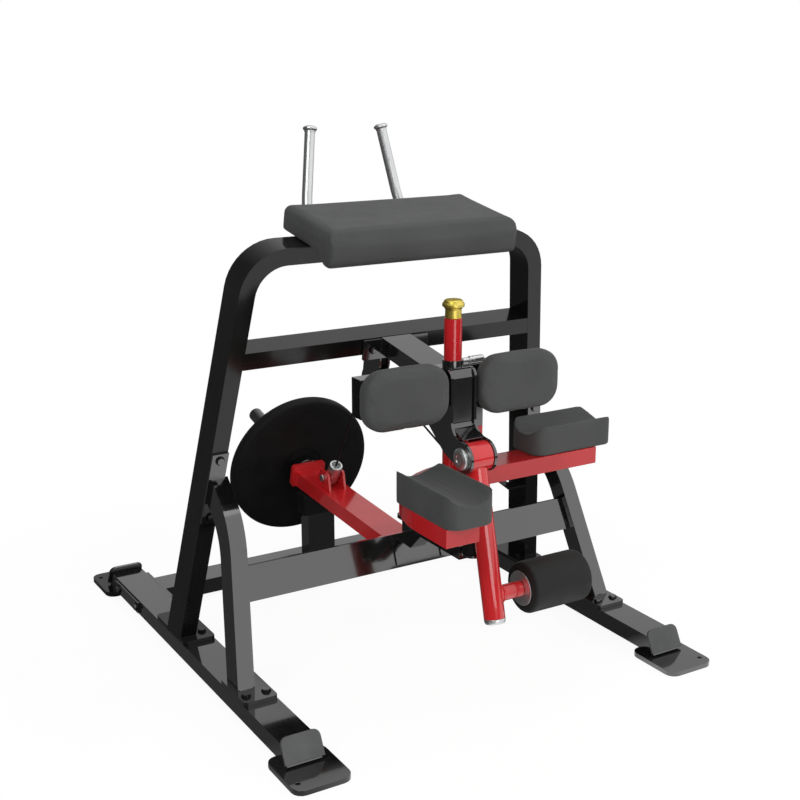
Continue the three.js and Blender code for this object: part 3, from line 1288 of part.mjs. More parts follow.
const guideSleeve = join(
  alongZ(rectangle(-guideHalf, guideHalf, platformY - guideDeep / 2, platformY + guideDeep / 2),
    guideLow, guideTop),
  alongZ(rectangle(guideHalf - weld, boxRight, boxY - boxDeep / 2, boxY + boxDeep / 2, weld),
    guideLow, guideSideTop),
  alongZ(circle(0, platformY, guideCollarRadius), guideTop - weld, guideCollarTop),
);
const pinBore = alongX(circle(pinLineY, pinLineZ, pinShankRadius + boreSlack, smallSteps), 0, pinKnobStart);
add('post_guide', cut(guideSleeve, postHole, pinBore), 'frame');
const pinTip = Math.sqrt(postRadius ** 2 - (pinLineY - platformY) ** 2) + boreSlack;
const pinCollar = (pinKnobRadius + pinShankRadius) / 2;
add('pull_pin', turnedX([
  [0, pinTip], [pinShankRadius, pinTip], [pinShankRadius, guideCollarRadius + seat],
  [pinCollar, guideCollarRadius + seat], [pinCollar, pinKnobStart],
  [pinKnobRadius, pinKnobStart], [pinKnobRadius, pinKnobEnd - pinShankRadius / 2],
  [pinKnobRadius - pinShankRadius / 2, pinKnobEnd], [0, pinKnobEnd],
], midSteps), 'chrome').position.set(0, pinLineY, pinLineZ);

// ---- knee pads: blocks with a round channel from end to end and a thin lip along each side ----
const halfTrough = troughWide / 2;
const channelHalf = halfTrough - troughLip;
const channelRadius = (channelHalf ** 2 + troughDeep ** 2) / (2 * troughDeep);
const troughLevels = [[troughEdge, 0], [troughEdge / 4, troughEdge / 4], [0, troughEdge], [0, troughTall]]
  .map(([inset, height]) => [inset, height / troughTall]);
const trough = cut(cushion(halfTrough, troughLong / 2, troughCorner, troughLevels, () => troughTall),
  alongY(circle(0, troughTall - troughDeep + channelRadius, channelRadius, roundSteps * 2),
    -troughLong, troughLong));
add('knee_pad_left', trough.clone(), 'charcoal').position.set(troughLeftX, troughLeftY, troughLow);
const kneeRight = add('knee_pad_right', trough.clone(), 'charcoal');
kneeRight.position.set(troughRightX, troughRightY, troughLow);
kneeRight.rotation.z = Math.PI / 2;

// The origin is under the middle of the machine, on the floor.
machine.updateMatrixWorld(true);
const extent = new THREE.Box3().setFromObject(machine, true);
machine.position.y = -(extent.min.y + extent.max.y) / 2;
machine.updateMatrixWorld(true);

export default machine;
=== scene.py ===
import math
import bmesh
import bpy
from mathutils import Matrix, Vector


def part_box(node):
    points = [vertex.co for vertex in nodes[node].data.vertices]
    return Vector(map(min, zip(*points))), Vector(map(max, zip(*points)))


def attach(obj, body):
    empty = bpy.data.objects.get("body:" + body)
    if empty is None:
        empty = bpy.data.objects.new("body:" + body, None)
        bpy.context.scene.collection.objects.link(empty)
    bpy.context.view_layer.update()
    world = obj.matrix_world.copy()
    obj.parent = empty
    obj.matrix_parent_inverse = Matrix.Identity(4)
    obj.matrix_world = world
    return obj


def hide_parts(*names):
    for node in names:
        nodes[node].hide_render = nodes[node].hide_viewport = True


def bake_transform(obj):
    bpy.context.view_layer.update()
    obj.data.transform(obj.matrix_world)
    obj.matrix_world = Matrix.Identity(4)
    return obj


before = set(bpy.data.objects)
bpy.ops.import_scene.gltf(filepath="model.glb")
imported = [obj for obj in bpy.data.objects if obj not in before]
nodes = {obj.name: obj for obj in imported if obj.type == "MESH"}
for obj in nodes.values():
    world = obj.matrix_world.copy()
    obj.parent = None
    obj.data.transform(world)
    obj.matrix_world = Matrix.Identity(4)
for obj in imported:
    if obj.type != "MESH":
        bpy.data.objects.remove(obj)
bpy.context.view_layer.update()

scene = bpy.context.scene

mm = 0.001
shiftY = 6.4105           # the model's origin lies this far in front of the measuring frame's
fullTurn = 2 * math.pi
unitX, unitZ = (1, 0, 0), (0, 0, 1)
white = (1, 1, 1, 1)


def place(x, y, z):
    # millimetres in the measuring frame to metres in the model's frame
    return Vector((x * mm, (y + shiftY) * mm, z * mm))


def toLinear(hexColour):
    # an sRGB hex colour as a socket wants it
    values = [int(hexColour[i:i + 2], 16) / 255 for i in (1, 3, 5)]
    return [v / 12.92 if v <= 0.04045 else ((v + 0.055) / 1.055) ** 2.4 for v in values] + [1.0]


def addNode(tree, kind, settings=None, links=None, stops=()):
    # settings go to sockets by name, or to the node itself; links are (output socket, input name or
    # number); stops are (place, colour) on a ramp
    node = tree.nodes.new(kind)
    for name, value in (settings or {}).items():
        if name in node.inputs:
            node.inputs[name].default_value = value
        else:
            setattr(node, name, value)
    for output, name in (links or []):
        tree.links.new(output, node.inputs[name])
    for element, (spot, colour) in zip(node.color_ramp.elements if stops else (), stops):
        element.position = spot
        element.color = colour
    return node


def startMaterial(name, spec, grains):
    # an empty material, the piece's own coordinates, and the outputs of a noise for each grain: the
    # dictionary holds its size in millimetres, and its detail is given here
    material = bpy.data.materials.new(name)
    material.use_nodes = True
    tree = material.node_tree
    tree.nodes.clear()
    spot = addNode(tree, "ShaderNodeTexCoord").outputs["Object"]
    noises = [addNode(tree, "ShaderNodeTexNoise", {
        "Scale": 1 / (spec[grain] * mm), "Detail": detail}, [(spot, "Vector")]).outputs
        for grain, detail in grains.items()]
    return material, tree, spot, noises


def finishMaterial(tree, shader):
    addNode(tree, "ShaderNodeOutputMaterial", {}, [(shader.outputs[0], "Surface")])


def surface(tree, spec, tint, shine, relief, settings, groove=0.0):
    # tint and shine are a pattern and two of its values, between which the colour goes from dark to
    # light and the roughness from low to high; relief is a pattern and its depth in millimetres; a
    # groove share sinks the relief instead, and darkens the colour by the same pattern as painted
    # shade
    pattern, start, end = tint
    colour = addNode(tree, "ShaderNodeValToRGB", {}, [(pattern, "Fac")],
                     [(start, toLinear(spec["dark"])), (end, toLinear(spec["light"]))])
    pattern, start, end = shine
    rough = addNode(tree, "ShaderNodeMapRange", {
        "From Min": start, "From Max": end,
        "To Min": spec["roughLow"], "To Max": spec["roughHigh"]}, [(pattern, "Value")])
    pattern, depth = relief
    bump = addNode(tree, "ShaderNodeBump", {"Strength": spec["bump"], "Distance": depth * mm,
                                            "invert": groove > 0}, [(pattern, "Height")])
    if groove:
        colour = addNode(tree, "ShaderNodeMixRGB", {"blend_type": "MULTIPLY", "Fac": groove},
                         [(colour.outputs["Color"], "Color1"), (pattern, "Color2")])
    finishMaterial(tree, addNode(tree, "ShaderNodeBsdfPrincipled", settings, [
        (colour.outputs["Color"], "Base Color"), (rough.outputs["Result"], "Roughness"),
        (bump.outputs["Normal"], "Normal")]))


def coated(name, spec):
    # powder coat: colour drifts slightly, gloss is smeared here and there, orange peel ripples it
    material, tree, _, (drift, smear, peel) = startMaterial(
        name, spec, {"drift": 4.0, "smear": 5.0, "peel": 2.0})
    surface(tree, spec, (drift["Fac"], 0.35, 0.7), (smear["Fac"], 0.3, 0.75), (peel["Fac"], 0.3),
            {"IOR": spec["index"], "Coat Weight": spec["coat"], "Coat Roughness": 0.04})
    return material


def vinyl(name, spec):
    # upholstery vinyl: pressed leather grain of rounded cells with painted shade in its pattern,
    # dull sheen, faint handling marks
    material, tree, spot, (warp, cloud, touch) = startMaterial(
        name, spec, {"warp": 2.0, "cloud": 4.0, "touch": 3.0})
    pull = addNode(tree, "ShaderNodeMixRGB", {"Fac": spec["pull"]},
                   [(spot, "Color1"), (warp["Color"], "Color2")])
    cells = addNode(tree, "ShaderNodeTexVoronoi", {"Scale": 1 / (spec["grain"] * mm),
                                                   "feature": "SMOOTH_F1"},
                    [(pull.outputs["Color"], "Vector")])
    surface(tree, spec, (cloud["Fac"], 0.3, 0.72), (touch["Fac"], 0.3, 0.75),
            (cells.outputs["Distance"], 0.4),
            {"IOR": 1.46, "Sheen Weight": 0.08, "Sheen Roughness": 0.5}, spec["groove"])
    return material


def foamLike(name, spec):
    # moulded foam or rubber: pores or a fine matt texture, a little paler where it is rubbed
    material, tree, _, (pore, patch) = startMaterial(name, spec, {"pore": 6.0, "patch": 4.0})
    surface(tree, spec, (patch["Fac"], 0.3, 0.75), (patch["Fac"], 0.3, 0.7), (pore["Fac"], 0.5),
            {"IOR": spec["index"]})
    return material


def metal(name, spec):
    # bare or plated metal: fine turning or drawing marks along one direction, small smudges
    material, tree, spot, (smudge,) = startMaterial(name, spec, {"smudge": 4.0})
    drawn = addNode(tree, "ShaderNodeMapping", {"Scale": spec["stretch"]}, [(spot, "Vector")])
    lines = addNode(tree, "ShaderNodeTexNoise", {"Scale": 1 / (spec["line"] * mm), "Detail": 3.0},
                    [(drawn.outputs["Vector"], "Vector")]).outputs["Fac"]
    surface(tree, spec, (smudge["Fac"], 0.3, 0.75), (lines, 0.25, 0.8), (lines, 0.2),
            {"Metallic": 1.0})
    return material


# gloss black powder coat over steel: near black, almost a mirror at low angles
blackCoat = coated("blackPowderCoat", {
    "dark": "#0f100f", "light": "#151615", "drift": 160, "smear": 70, "peel": 2.2, "bump": 0.02,
    "roughLow": 0.07, "roughHigh": 0.13, "index": 1.95, "coat": 1.0})
# a thinner pass of it on the hoop, the upper beam and the rear feet, which shine less
satinCoat = coated("satinBlackPowderCoat", {
    "dark": "#101110", "light": "#161716", "drift": 160, "smear": 70, "peel": 2.2, "bump": 0.02,
    "roughLow": 0.1, "roughHigh": 0.17, "index": 1.5, "coat": 0.0})
# the same coat in a saturated signal red, on the platform and its post
redSet = {"dark": "#c51b20", "light": "#d2252a", "drift": 140, "smear": 60, "peel": 2.2,
          "bump": 0.02, "roughLow": 0.1, "roughHigh": 0.18, "index": 1.5, "coat": 0.4}
redCoat = coated("redPowderCoat", redSet)
# the same red painted lighter as painted light on the lever and the swing arm, which the lamps
# leave in more shade, and glossier
paintedLightRedCoat = coated("paintedLightRedPowderCoat", {
    **redSet, "dark": "#dd2529", "light": "#e83035", "coat": 0.8})
# the front end plates' black coat painted a satin grey: painted reflection of the floor light on
# their slanted faces
paintedReflectionGreyCoat = coated("paintedReflectionGreyPowderCoat", {
    "dark": "#4c4e4d", "light": "#595b5a", "drift": 90, "smear": 40, "peel": 1.6, "bump": 0.08,
    "roughLow": 0.38, "roughHigh": 0.5, "index": 1.5, "coat": 0.0})
# grained upholstery vinyl in charcoal, almost without shine
charcoalVinyl = vinyl("charcoalVinyl", {
    "dark": "#484a49", "light": "#505251", "grain": 1.5, "warp": 6, "pull": 0.0012, "cloud": 90,
    "touch": 45, "bump": 0.22, "groove": 0.16, "roughLow": 0.55, "roughHigh": 0.68})
# closed-cell nitrile foam on the ankle roller, soft and dull
nitrileFoam = foamLike("nitrileFoam", {
    "dark": "#171817", "light": "#1e1f1e", "pore": 0.9, "patch": 60, "bump": 0.3,
    "roughLow": 0.5, "roughHigh": 0.66, "index": 1.4})
# moulded rubber: deep black and matt
mouldedRubber = foamLike("mouldedRubber", {
    "dark": "#181818", "light": "#1f1f1f", "pore": 1.4, "patch": 60, "bump": 0.14,
    "roughLow": 0.5, "roughHigh": 0.68, "index": 1.25})
# ply board wrapped in black vinyl
wrappedBoard = foamLike("wrappedBoard", {
    "dark": "#181818", "light": "#202020", "pore": 1.8, "patch": 50, "bump": 0.2,
    "roughLow": 0.6, "roughHigh": 0.75, "index": 1.35})
# injection-moulded nylon, satin
mouldedNylon = foamLike("mouldedNylon", {
    "dark": "#1a1a1b", "light": "#232324", "pore": 0.8, "patch": 40, "bump": 0.08,
    "roughLow": 0.38, "roughHigh": 0.5, "index": 1.5})
# plastic sheath of a coated wire rope, whose strands are modelled
cableSheath = foamLike("cableSheath", {
    "dark": "#101010", "light": "#1a1a1a", "pore": 1.2, "patch": 30, "bump": 0.3,
    "roughLow": 0.34, "roughHigh": 0.46, "index": 1.4})
# drawn and polished stainless steel on the hand grips and the pin
stainlessSteel = metal("polishedStainless", {
    "dark": "#e0e1e2", "light": "#eaebeb", "line": 2.4, "stretch": (1, 1, 0.08), "smudge": 60,
    "bump": 0.0, "roughLow": 0.34, "roughHigh": 0.38})
# zinc-plated turned steel, softly bright
zincSteel = metal("zincSteel", {
    "dark": "#d8dadb", "light": "#ebecec", "line": 0.9, "stretch": (0.2, 1, 1), "smudge": 30,
    "bump": 0.04, "roughLow": 0.34, "roughHigh": 0.46})
# black zinc on the bolts' washers, darker and duller than the coat
zincBlack = metal("blackZinc", {
    "dark": "#2a2b2c", "light": "#3a3b3c", "line": 0.9, "stretch": (1, 1, 1), "smudge": 20,
    "bump": 0.04, "roughLow": 0.34, "roughHigh": 0.46})
# gold-anodised aluminium cap
goldAnodised = metal("goldAnodised", {
    "dark": "#efd75c", "light": "#fae67c", "line": 0.9, "stretch": (1, 1, 0.2), "smudge": 25,
    "bump": 0.03, "roughLow": 0.38, "roughHigh": 0.48})
print("materials made")


# the photo's camera, in millimetres of the measuring frame
cameraSet = {"at": (-1916.6, -3369.4, 1771.9), "forward": (0.4967, 0.8276, -0.2616),
             "up": (0.1346, 0.2243, 0.9652), "lens": 58.13, "sensor": 36, "far": 60}
cameraData = bpy.data.cameras.new("camera")
cameraData.lens = cameraSet["lens"]
cameraData.sensor_width = cameraSet["sensor"]
cameraData.clip_end = cameraSet["far"]
camera = bpy.data.objects.new("camera", cameraData)
scene.collection.objects.link(camera)
forward = Vector(cameraSet["forward"]).normalized()
sideways = forward.cross(Vector(cameraSet["up"])).normalized()
turn = Matrix((sideways, sideways.cross(forward), -forward)).transposed().to_4x4()
camera.matrix_world = Matrix.Translation(place(*cameraSet["at"])) @ turn
scene.camera = camera
scene.view_settings.view_transform = "Standard"

lampSets = {  # place, height aimed at and size in metres, watts, and whether a gloss mirrors it
    "keySoftbox": ((-3.2, -2.6, 3.6), 0.6, 2.6, 64, True),
    "fillSoftbox": ((3.4, -2.6, 2.4), 0.6, 2.4, 46, False),
    "overhead": ((0.2, 0.3, 4.2), 0.4, 3.2, 22, True),
    "backStrip": ((3.4, 2.2, 2.6), 0.8, 2.0, 16, False),
    "lowFront": ((-0.6, -4.2, 0.9), 0.7, 1.8, 27, True),
}
for name, (spot, height, size, watts, mirrored) in lampSets.items():
    lampData = bpy.data.lights.new(name, "AREA")
    lampData.size = size
    lampData.energy = watts
    lamp = bpy.data.objects.new(name, lampData)
    lamp.location = spot
    aim = Vector((0, 0, height)) - Vector(spot)
    lamp.rotation_euler = aim.to_track_quat("-Z", "Y").to_euler()
    lamp.visible_glossy = mirrored
    scene.collection.objects.link(lamp)


def byRay(tree, other, glossy, seen):
    # one shader for what the camera sees, one for what a gloss mirrors, one for all other light
    rays = addNode(tree, "ShaderNodeLightPath").outputs
    unseen = addNode(tree, "ShaderNodeMixShader", {}, [
        (rays["Is Glossy Ray"], "Fac"), (other.outputs[0], 1), (glossy.outputs[0], 2)])
    return addNode(tree, "ShaderNodeMixShader", {}, [
        (rays["Is Camera Ray"], "Fac"), (unseen.outputs[0], 1), (seen.outputs[0], 2)])


# a plain room: white to the camera; a gloss sees it white in front to the right, and darker
# elsewhere; frontToBack and leftToRight are the parts of a ray's way over which that changes
worldSet = {"soft": 0.32, "leftGloss": 0.09, "frontGloss": 1.0, "backGloss": 0.5,
            "frontToBack": (-0.1, 0.35), "leftToRight": (-0.35, 0.3), "seen": 1.0}
world = bpy.data.worlds.new("studioWorld")
world.use_nodes = True
worldTree = world.node_tree
worldTree.nodes.clear()
sight = addNode(worldTree, "ShaderNodeTexCoord").outputs["Generated"]
sightWay = addNode(worldTree, "ShaderNodeSeparateXYZ", {}, [(sight, "Vector")]).outputs
rightGloss = addNode(worldTree, "ShaderNodeMapRange", {
    "From Min": worldSet["frontToBack"][0], "From Max": worldSet["frontToBack"][1],
    "To Min": worldSet["frontGloss"], "To Max": worldSet["backGloss"]}, [(sightWay["Y"], "Value")])
glossLevel = addNode(worldTree, "ShaderNodeMapRange", {
    "From Min": worldSet["leftToRight"][0], "From Max": worldSet["leftToRight"][1],
    "To Min": worldSet["leftGloss"]},
    [(sightWay["X"], "Value"), (rightGloss.outputs["Result"], "To Max")])
worldMix = byRay(
    worldTree,
    addNode(worldTree, "ShaderNodeBackground", {"Color": white, "Strength": worldSet["soft"]}),
    addNode(worldTree, "ShaderNodeBackground", {"Color": white},
            [(glossLevel.outputs["Result"], "Strength")]),
    addNode(worldTree, "ShaderNodeBackground", {"Color": white, "Strength": worldSet["seen"]}))
addNode(worldTree, "ShaderNodeOutputWorld", {}, [(worldMix.outputs[0], "Surface")])
scene.world = world

# white paper floor, in metres: it keeps a soft shadow under the object and fades to plain white
# away from it; a gloss sees one bright sheet of it in front to the right, as a softbox would show
floorSet = {"colour": "#d6d6d4", "shadowShare": 0.16, "lift": 1.1, "fade": (1.1, 2.4),
            "rightX": (-0.75, -0.35), "farY": (-2.9, -2.7), "nearY": (-0.75, -0.55),
            "darkGloss": 0.07, "half": 14, "sunk": 0.0005}
floorMaterial, floorTree, floorSpot, _ = startMaterial("paperFloor", floorSet, {})
floorShade = addNode(floorTree, "ShaderNodeBsdfDiffuse", {"Color": toLinear(floorSet["colour"])})
floorReach = addNode(floorTree, "ShaderNodeVectorMath", {"operation": "LENGTH"},
                     [(floorSpot, 0)]).outputs["Value"]
floorSides = addNode(floorTree, "ShaderNodeSeparateXYZ", {}, [(floorSpot, "Vector")]).outputs
floorLevels = [
    addNode(floorTree, "ShaderNodeMapRange", {
        "From Min": span[0], "From Max": span[1], "To Min": start, "To Max": end},
        [(value, "Value")]).outputs["Result"]
    for value, span, start, end in (
        (floorReach, floorSet["fade"], 1 - floorSet["shadowShare"], 1.0),
        (floorReach, floorSet["fade"], floorSet["lift"], 1.0),
        (floorSides["Y"], floorSet["farY"], 0.0, 1.0),
        (floorSides["Y"], floorSet["nearY"], 1.0, 0.0),
        (floorSides["X"], floorSet["rightX"], 0.0, 1.0))]
plainShare, whiteLevel, floorSheet = floorLevels[:3]
for edge in floorLevels[3:]:
    floorSheet = addNode(floorTree, "ShaderNodeMath", {"operation": "MULTIPLY"},
                         [(floorSheet, 0), (edge, 1)]).outputs[0]
floorWhite = addNode(floorTree, "ShaderNodeEmission", {"Color": white}, [(whiteLevel, "Strength")])
floorSeen = addNode(floorTree, "ShaderNodeMixShader", {}, [
    (plainShare, "Fac"), (floorShade.outputs[0], 1), (floorWhite.outputs[0], 2)])
sheetLevel = addNode(floorTree, "ShaderNodeMapRange", {
    "To Min": floorSet["darkGloss"], "To Max": 1.0}, [(floorSheet, "Value")])
floorGloss = addNode(floorTree, "ShaderNodeEmission", {"Color": white},
                     [(sheetLevel.outputs["Result"], "Strength")])
finishMaterial(floorTree, byRay(floorTree, floorShade, floorGloss, floorSeen))
floorMesh = bpy.data.meshes.new("paperFloor")
floorMesh.from_pydata([(x * floorSet["half"], y * floorSet["half"], 0)
                       for x, y in ((-1, -1), (1, -1), (1, 1), (-1, 1))], [], [(0, 1, 2, 3)])
floorMesh.materials.append(floorMaterial)
floorObject = bpy.data.objects.new("paperFloor", floorMesh)
floorObject.location.z = -floorSet["sunk"]
scene.collection.objects.link(floorObject)
print("camera, lamps and floor made")


def makeObject(name, mesh, material):
    mesh.materials.clear()
    mesh.materials.append(material)
    piece = bpy.data.objects.new(name, mesh)
    scene.collection.objects.link(piece)
    return piece


def meshOf(bm, name):
    mesh = bpy.data.meshes.new(name)
    bm.to_mesh(mesh)
    bm.free()
    return mesh


def bridge(bm, lower, upper):
    # faces between two rings of points, of which one may be a single point
    steps = max(len(lower), len(upper))
    for k in range(steps):
        n = (k + 1) % steps
        if len(lower) == 1 and len(upper) > 1:
            bm.faces.new((lower[0], upper[n], upper[k]))
        elif len(upper) == 1 and len(lower) > 1:
            bm.faces.new((lower[k], lower[n], upper[0]))
        elif len(lower) > 1:
            bm.faces.new((lower[k], lower[n], upper[n], upper[k]))


def shadeSmooth(mesh, sharp):
    mesh.polygons.foreach_set("use_smooth", [True] * len(mesh.polygons))
    mesh.set_sharp_from_angle(angle=math.radians(sharp))


def dress(piece, body, replaced=()):
    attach(piece, body)
    if replaced:
        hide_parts(*replaced)
    return piece


def baked(piece):
    # turns the piece with its live modifiers into a plain mesh
    graph = bpy.context.evaluated_depsgraph_get()
    mesh = bpy.data.meshes.new_from_object(piece.evaluated_get(graph), depsgraph=graph)
    piece.modifiers.clear()
    old = piece.data
    piece.data = mesh
    bpy.data.meshes.remove(old)
    return piece


# the CAD's rigid stock with rounded edges: a merged copy with flat faces rebuilt, then a bevel
edgeSet = {"merge": 2e-5, "flat": 0.6, "turn": 40, "segments": 3, "sharp": 32, "weld": 1e-6,
           "weight": 90}      # merge and weld in metres; flat, turn and sharp in degrees


def cadCopy(node):
    bm = bmesh.new()
    bm.from_mesh(nodes[node].data)
    bmesh.ops.remove_doubles(bm, verts=bm.verts, dist=edgeSet["merge"])
    bmesh.ops.dissolve_limit(bm, angle_limit=math.radians(edgeSet["flat"]), verts=bm.verts,
                             edges=bm.edges)
    return meshOf(bm, node)


def bevelled(piece, width, segments):
    bevel = piece.modifiers.new("edges", "BEVEL")
    bevel.width = width * mm
    bevel.segments = segments
    bevel.limit_method = "ANGLE"
    bevel.angle_limit = math.radians(edgeSet["turn"])


def softened(node, body, slot, material, width):
    piece = makeObject(node + "_piece", cadCopy(node), material)
    shadeSmooth(piece.data, edgeSet["sharp"])
    bevelled(piece, width, edgeSet["segments"])
    weld = piece.modifiers.new("weld", "WELD")      # faces that a clamped bevel leaves without area
    weld.merge_threshold = edgeSet["weld"]
    even = piece.modifiers.new("flat", "WEIGHTED_NORMAL")       # flat faces mirror like flat ones
    even.weight = edgeSet["weight"]
    even.keep_sharp = False
    dress(baked(piece), body, [node])


stockPieces = [  # nodes, material, edge width in millimetres, and body and slot of their own
    ("rail_left rail_right", blackCoat, 3.5),
    # the front end plates are black; their grey is painted reflection
    ("rail_end_front_left rail_end_front_right", paintedReflectionGreyCoat, 1.5, "frame", "grey_paint"),
    ("rail_end_rear_left rail_end_rear_right", blackCoat, 1.5),
    ("foot_front_left foot_front_right", blackCoat, 1.8),
    ("foot_rear_left foot_rear_right", satinCoat, 1.8),
    ("rear_beam", blackCoat, 3),
    ("rear_backing_left rear_backing_right", blackCoat, 1),
    ("hoop", satinCoat, 3.5),
    ("brace_left brace_right lower_beam", blackCoat, 3),
    ("upper_beam", satinCoat, 3),
    ("forward_strut", blackCoat, 3),
    ("stop_strut", blackCoat, 2),
    ("cheek_left cheek_right", blackCoat, 1.5),
    ("hub_cover", blackCoat, 1),
    ("thigh_bar_left thigh_bar_right", blackCoat, 4),
    ("thigh_board_left thigh_board_right chest_board", wrappedBoard, 2.5, "frame", "board"),
    ("pulley_bracket", blackCoat, 1),
    ("post_guide", blackCoat, 3),
    ("bumper", mouldedRubber, 4, "frame", "rubber"),
    # painted light: the lever takes the lighter copy of the red coat
    ("weight_lever", paintedLightRedCoat, 3, "lever", "red_paint"),
    ("knee_platform", redCoat, 3, "platform", "red_paint"),
]
for names, material, width, *own in stockPieces:
    for name in names.split():
        softened(name, *(own or ("frame", "frame_paint")), material, width)
print("stock pieces made")


# turned pieces: profiles are (radius, height) corners in millimetres about the piece's own axis,
# and a corner's third value is its own rounding
turnSet = {"cornerSteps": 5, "share": 0.48, "weld": 1e-6, "beadSides": 8, "beadSteps": 96,
           "beadLumps": 46, "beadSwell": 0.14}


def sizes(spec, names):
    return [spec[name] for name in names.split()]


def rod(radius, start, end):
    return [(0, start), (radius, start), (radius, end), (0, end)]


def bothEnds(profile):
    # a profile on the negative side of its axis, and one on the positive side
    return [[(r, sign * along, *own) for r, along, *own in profile] for sign in (-1, 1)]


def rounded(profile, radius):
    # rounds the corners of an open profile; a corner takes less than half of a short side
    points = []
    for i, corner in enumerate(profile):
        here = Vector(corner[:2])
        r = corner[2] if len(corner) > 2 else radius
        if i in (0, len(profile) - 1) or r <= 0:
            points.append(tuple(here))
            continue
        before = Vector(profile[i - 1][:2]) - here
        after = Vector(profile[i + 1][:2]) - here
        reach = min(r / math.tan(before.angle(after) / 2), before.length * turnSet["share"],
                    after.length * turnSet["share"])
        start = here + before.normalized() * reach
        end = here + after.normalized() * reach
        for k in range(turnSet["cornerSteps"] + 1):
            t = k / turnSet["cornerSteps"]
            points.append(tuple(start * (1 - t) ** 2 + here * 2 * t * (1 - t) + end * t ** 2))
    return points


def alongAxis(bm, origin, direction):
    # the mesh of what was made about Z, with Z laid along a direction from an origin
    turned = Vector(direction).to_track_quat("Z", "Y").to_matrix().to_4x4()
    bmesh.ops.transform(bm, matrix=Matrix.Translation(origin) @ turned, verts=bm.verts)
    return meshOf(bm, "turned")


def turnedPart(profile, origin, direction, steps=96, radius=1.2):
    bm = bmesh.new()
    rings = []
    for reach, height in rounded(profile, radius):
        rings.append([bm.verts.new((reach * mm * math.cos(fullTurn * k / steps),
                                    reach * mm * math.sin(fullTurn * k / steps), height * mm))
                      for k in range(steps if reach else 1)])
    for lower, upper in zip(rings, rings[1:]):
        bridge(bm, lower, upper)
    bmesh.ops.remove_doubles(bm, verts=bm.verts, dist=turnSet["weld"])
    bmesh.ops.recalc_face_normals(bm, faces=bm.faces)
    return alongAxis(bm, origin, direction)


def weldRing(radius, width, origin, direction):
    # a weld bead: a thin ring whose height ripples like overlapping drops
    bm = bmesh.new()
    rings = []
    steps, sides = turnSet["beadSteps"], turnSet["beadSides"]
    for k in range(steps):
        angle = fullTurn * k / steps
        swell = 1 + turnSet["beadSwell"] * math.cos(turnSet["beadLumps"] * angle)
        ring = []
        for j in range(sides):
            around = fullTurn * j / sides
            r = radius + width * swell * math.cos(around)
            ring.append(bm.verts.new((r * mm * math.cos(angle), r * mm * math.sin(angle),
                                      width * swell * mm * math.sin(around))))
        rings.append(ring)
    for ring, following in zip(rings, rings[1:] + rings[:1]):
        for j in range(sides):
            n = (j + 1) % sides
            bm.faces.new((ring[j], following[j], following[n], ring[n]))
    bmesh.ops.recalc_face_normals(bm, faces=bm.faces)
    return alongAxis(bm, origin, direction)


def joined(node, meshes, material, body, sharp=32):
    # several closed shells as one piece in the place of a CAD node
    bm = bmesh.new()
    for mesh in meshes:
        bm.from_mesh(mesh)
        bpy.data.meshes.remove(mesh)
    piece = makeObject(node + "_piece", meshOf(bm, node + "_piece"), material)
    shadeSmooth(piece.data, sharp)
    return dress(piece, body, [node])


# swing arm: barrel about the hub, tube down to the end cap, stub and spindle for the roller
hubY, hubUp = -578, 695
hub = place(0, hubY, hubUp)
armSet = {"lean": 13.6, "start": 20, "long": 465, "radius": 30, "barrel": 42, "bore": 15.5,
          "half": 34, "rollerDown": 388, "stub": 22.5, "stubEnd": 94, "spindle": 12.5, "tip": 315,
          "weld": 2.4, "weldOut": 0.8, "weldAt": 29.4, "cap": 14, "seat": 0.3}
armLean = math.radians(armSet["lean"])
armWay = Vector((0, -math.sin(armLean), -math.cos(armLean)))
armEnd = armSet["long"] - armSet["cap"]
rollerAt = hub + armWay * armSet["rollerDown"] * mm
barrel, bore, half = sizes(armSet, "barrel bore half")
stub, stubEnd, spindle, tip = sizes(armSet, "stub stubEnd spindle tip")
joined("swing_arm", [
    turnedPart([(0, -half), (bore, -half), (barrel, -half), (barrel, half), (bore, half),
                (0, half)], hub, unitX, 128, 2),
    turnedPart(rod(armSet["radius"], armSet["start"], armEnd - armSet["seat"]), hub, armWay),
    turnedPart([(0, 0), (stub, 0), (stub, stubEnd), (spindle, stubEnd), (spindle, tip), (0, tip)],
               rollerAt, unitX),
    weldRing(stub + armSet["weldOut"], armSet["weld"],
             rollerAt + Vector((armSet["weldAt"] * mm, 0, 0)), unitX),
], paintedLightRedCoat, "arm")

# its end cap, with a turned groove
joined("arm_end_cap", [
    turnedPart([(0, armEnd), (29.5, armEnd), (30, armEnd + 1), (30, armEnd + 7),
                (28.6, armEnd + 7.6), (28.6, armEnd + 9), (29.6, armEnd + 9.6),
                (27, armSet["long"]), (0, armSet["long"])], hub, armWay, 96, 0.8),
], zincSteel, "arm")

# hub axle with a dished cap at each end
axleSet = {"radius": 15, "half": 34, "cap": 31, "inner": 42.8, "outer": 56.8, "dish": 2.2}
axle, half, cap, inner, outer = sizes(axleSet, "radius half cap inner outer")
dish = outer - axleSet["dish"]
joined("hub_axle", [turnedPart(profile, hub, unitX, 96, 1) for profile in bothEnds([
    (0, 33), (axle, 33), (axle, inner), (cap, inner), (cap, outer - 4.5, 3.5), (24, outer, 3),
    (13, outer, 1), (11, dish, 1), (0, dish)])] + [
    turnedPart(rod(axle, -half, half), hub, unitX, 64)], zincSteel, "frame")

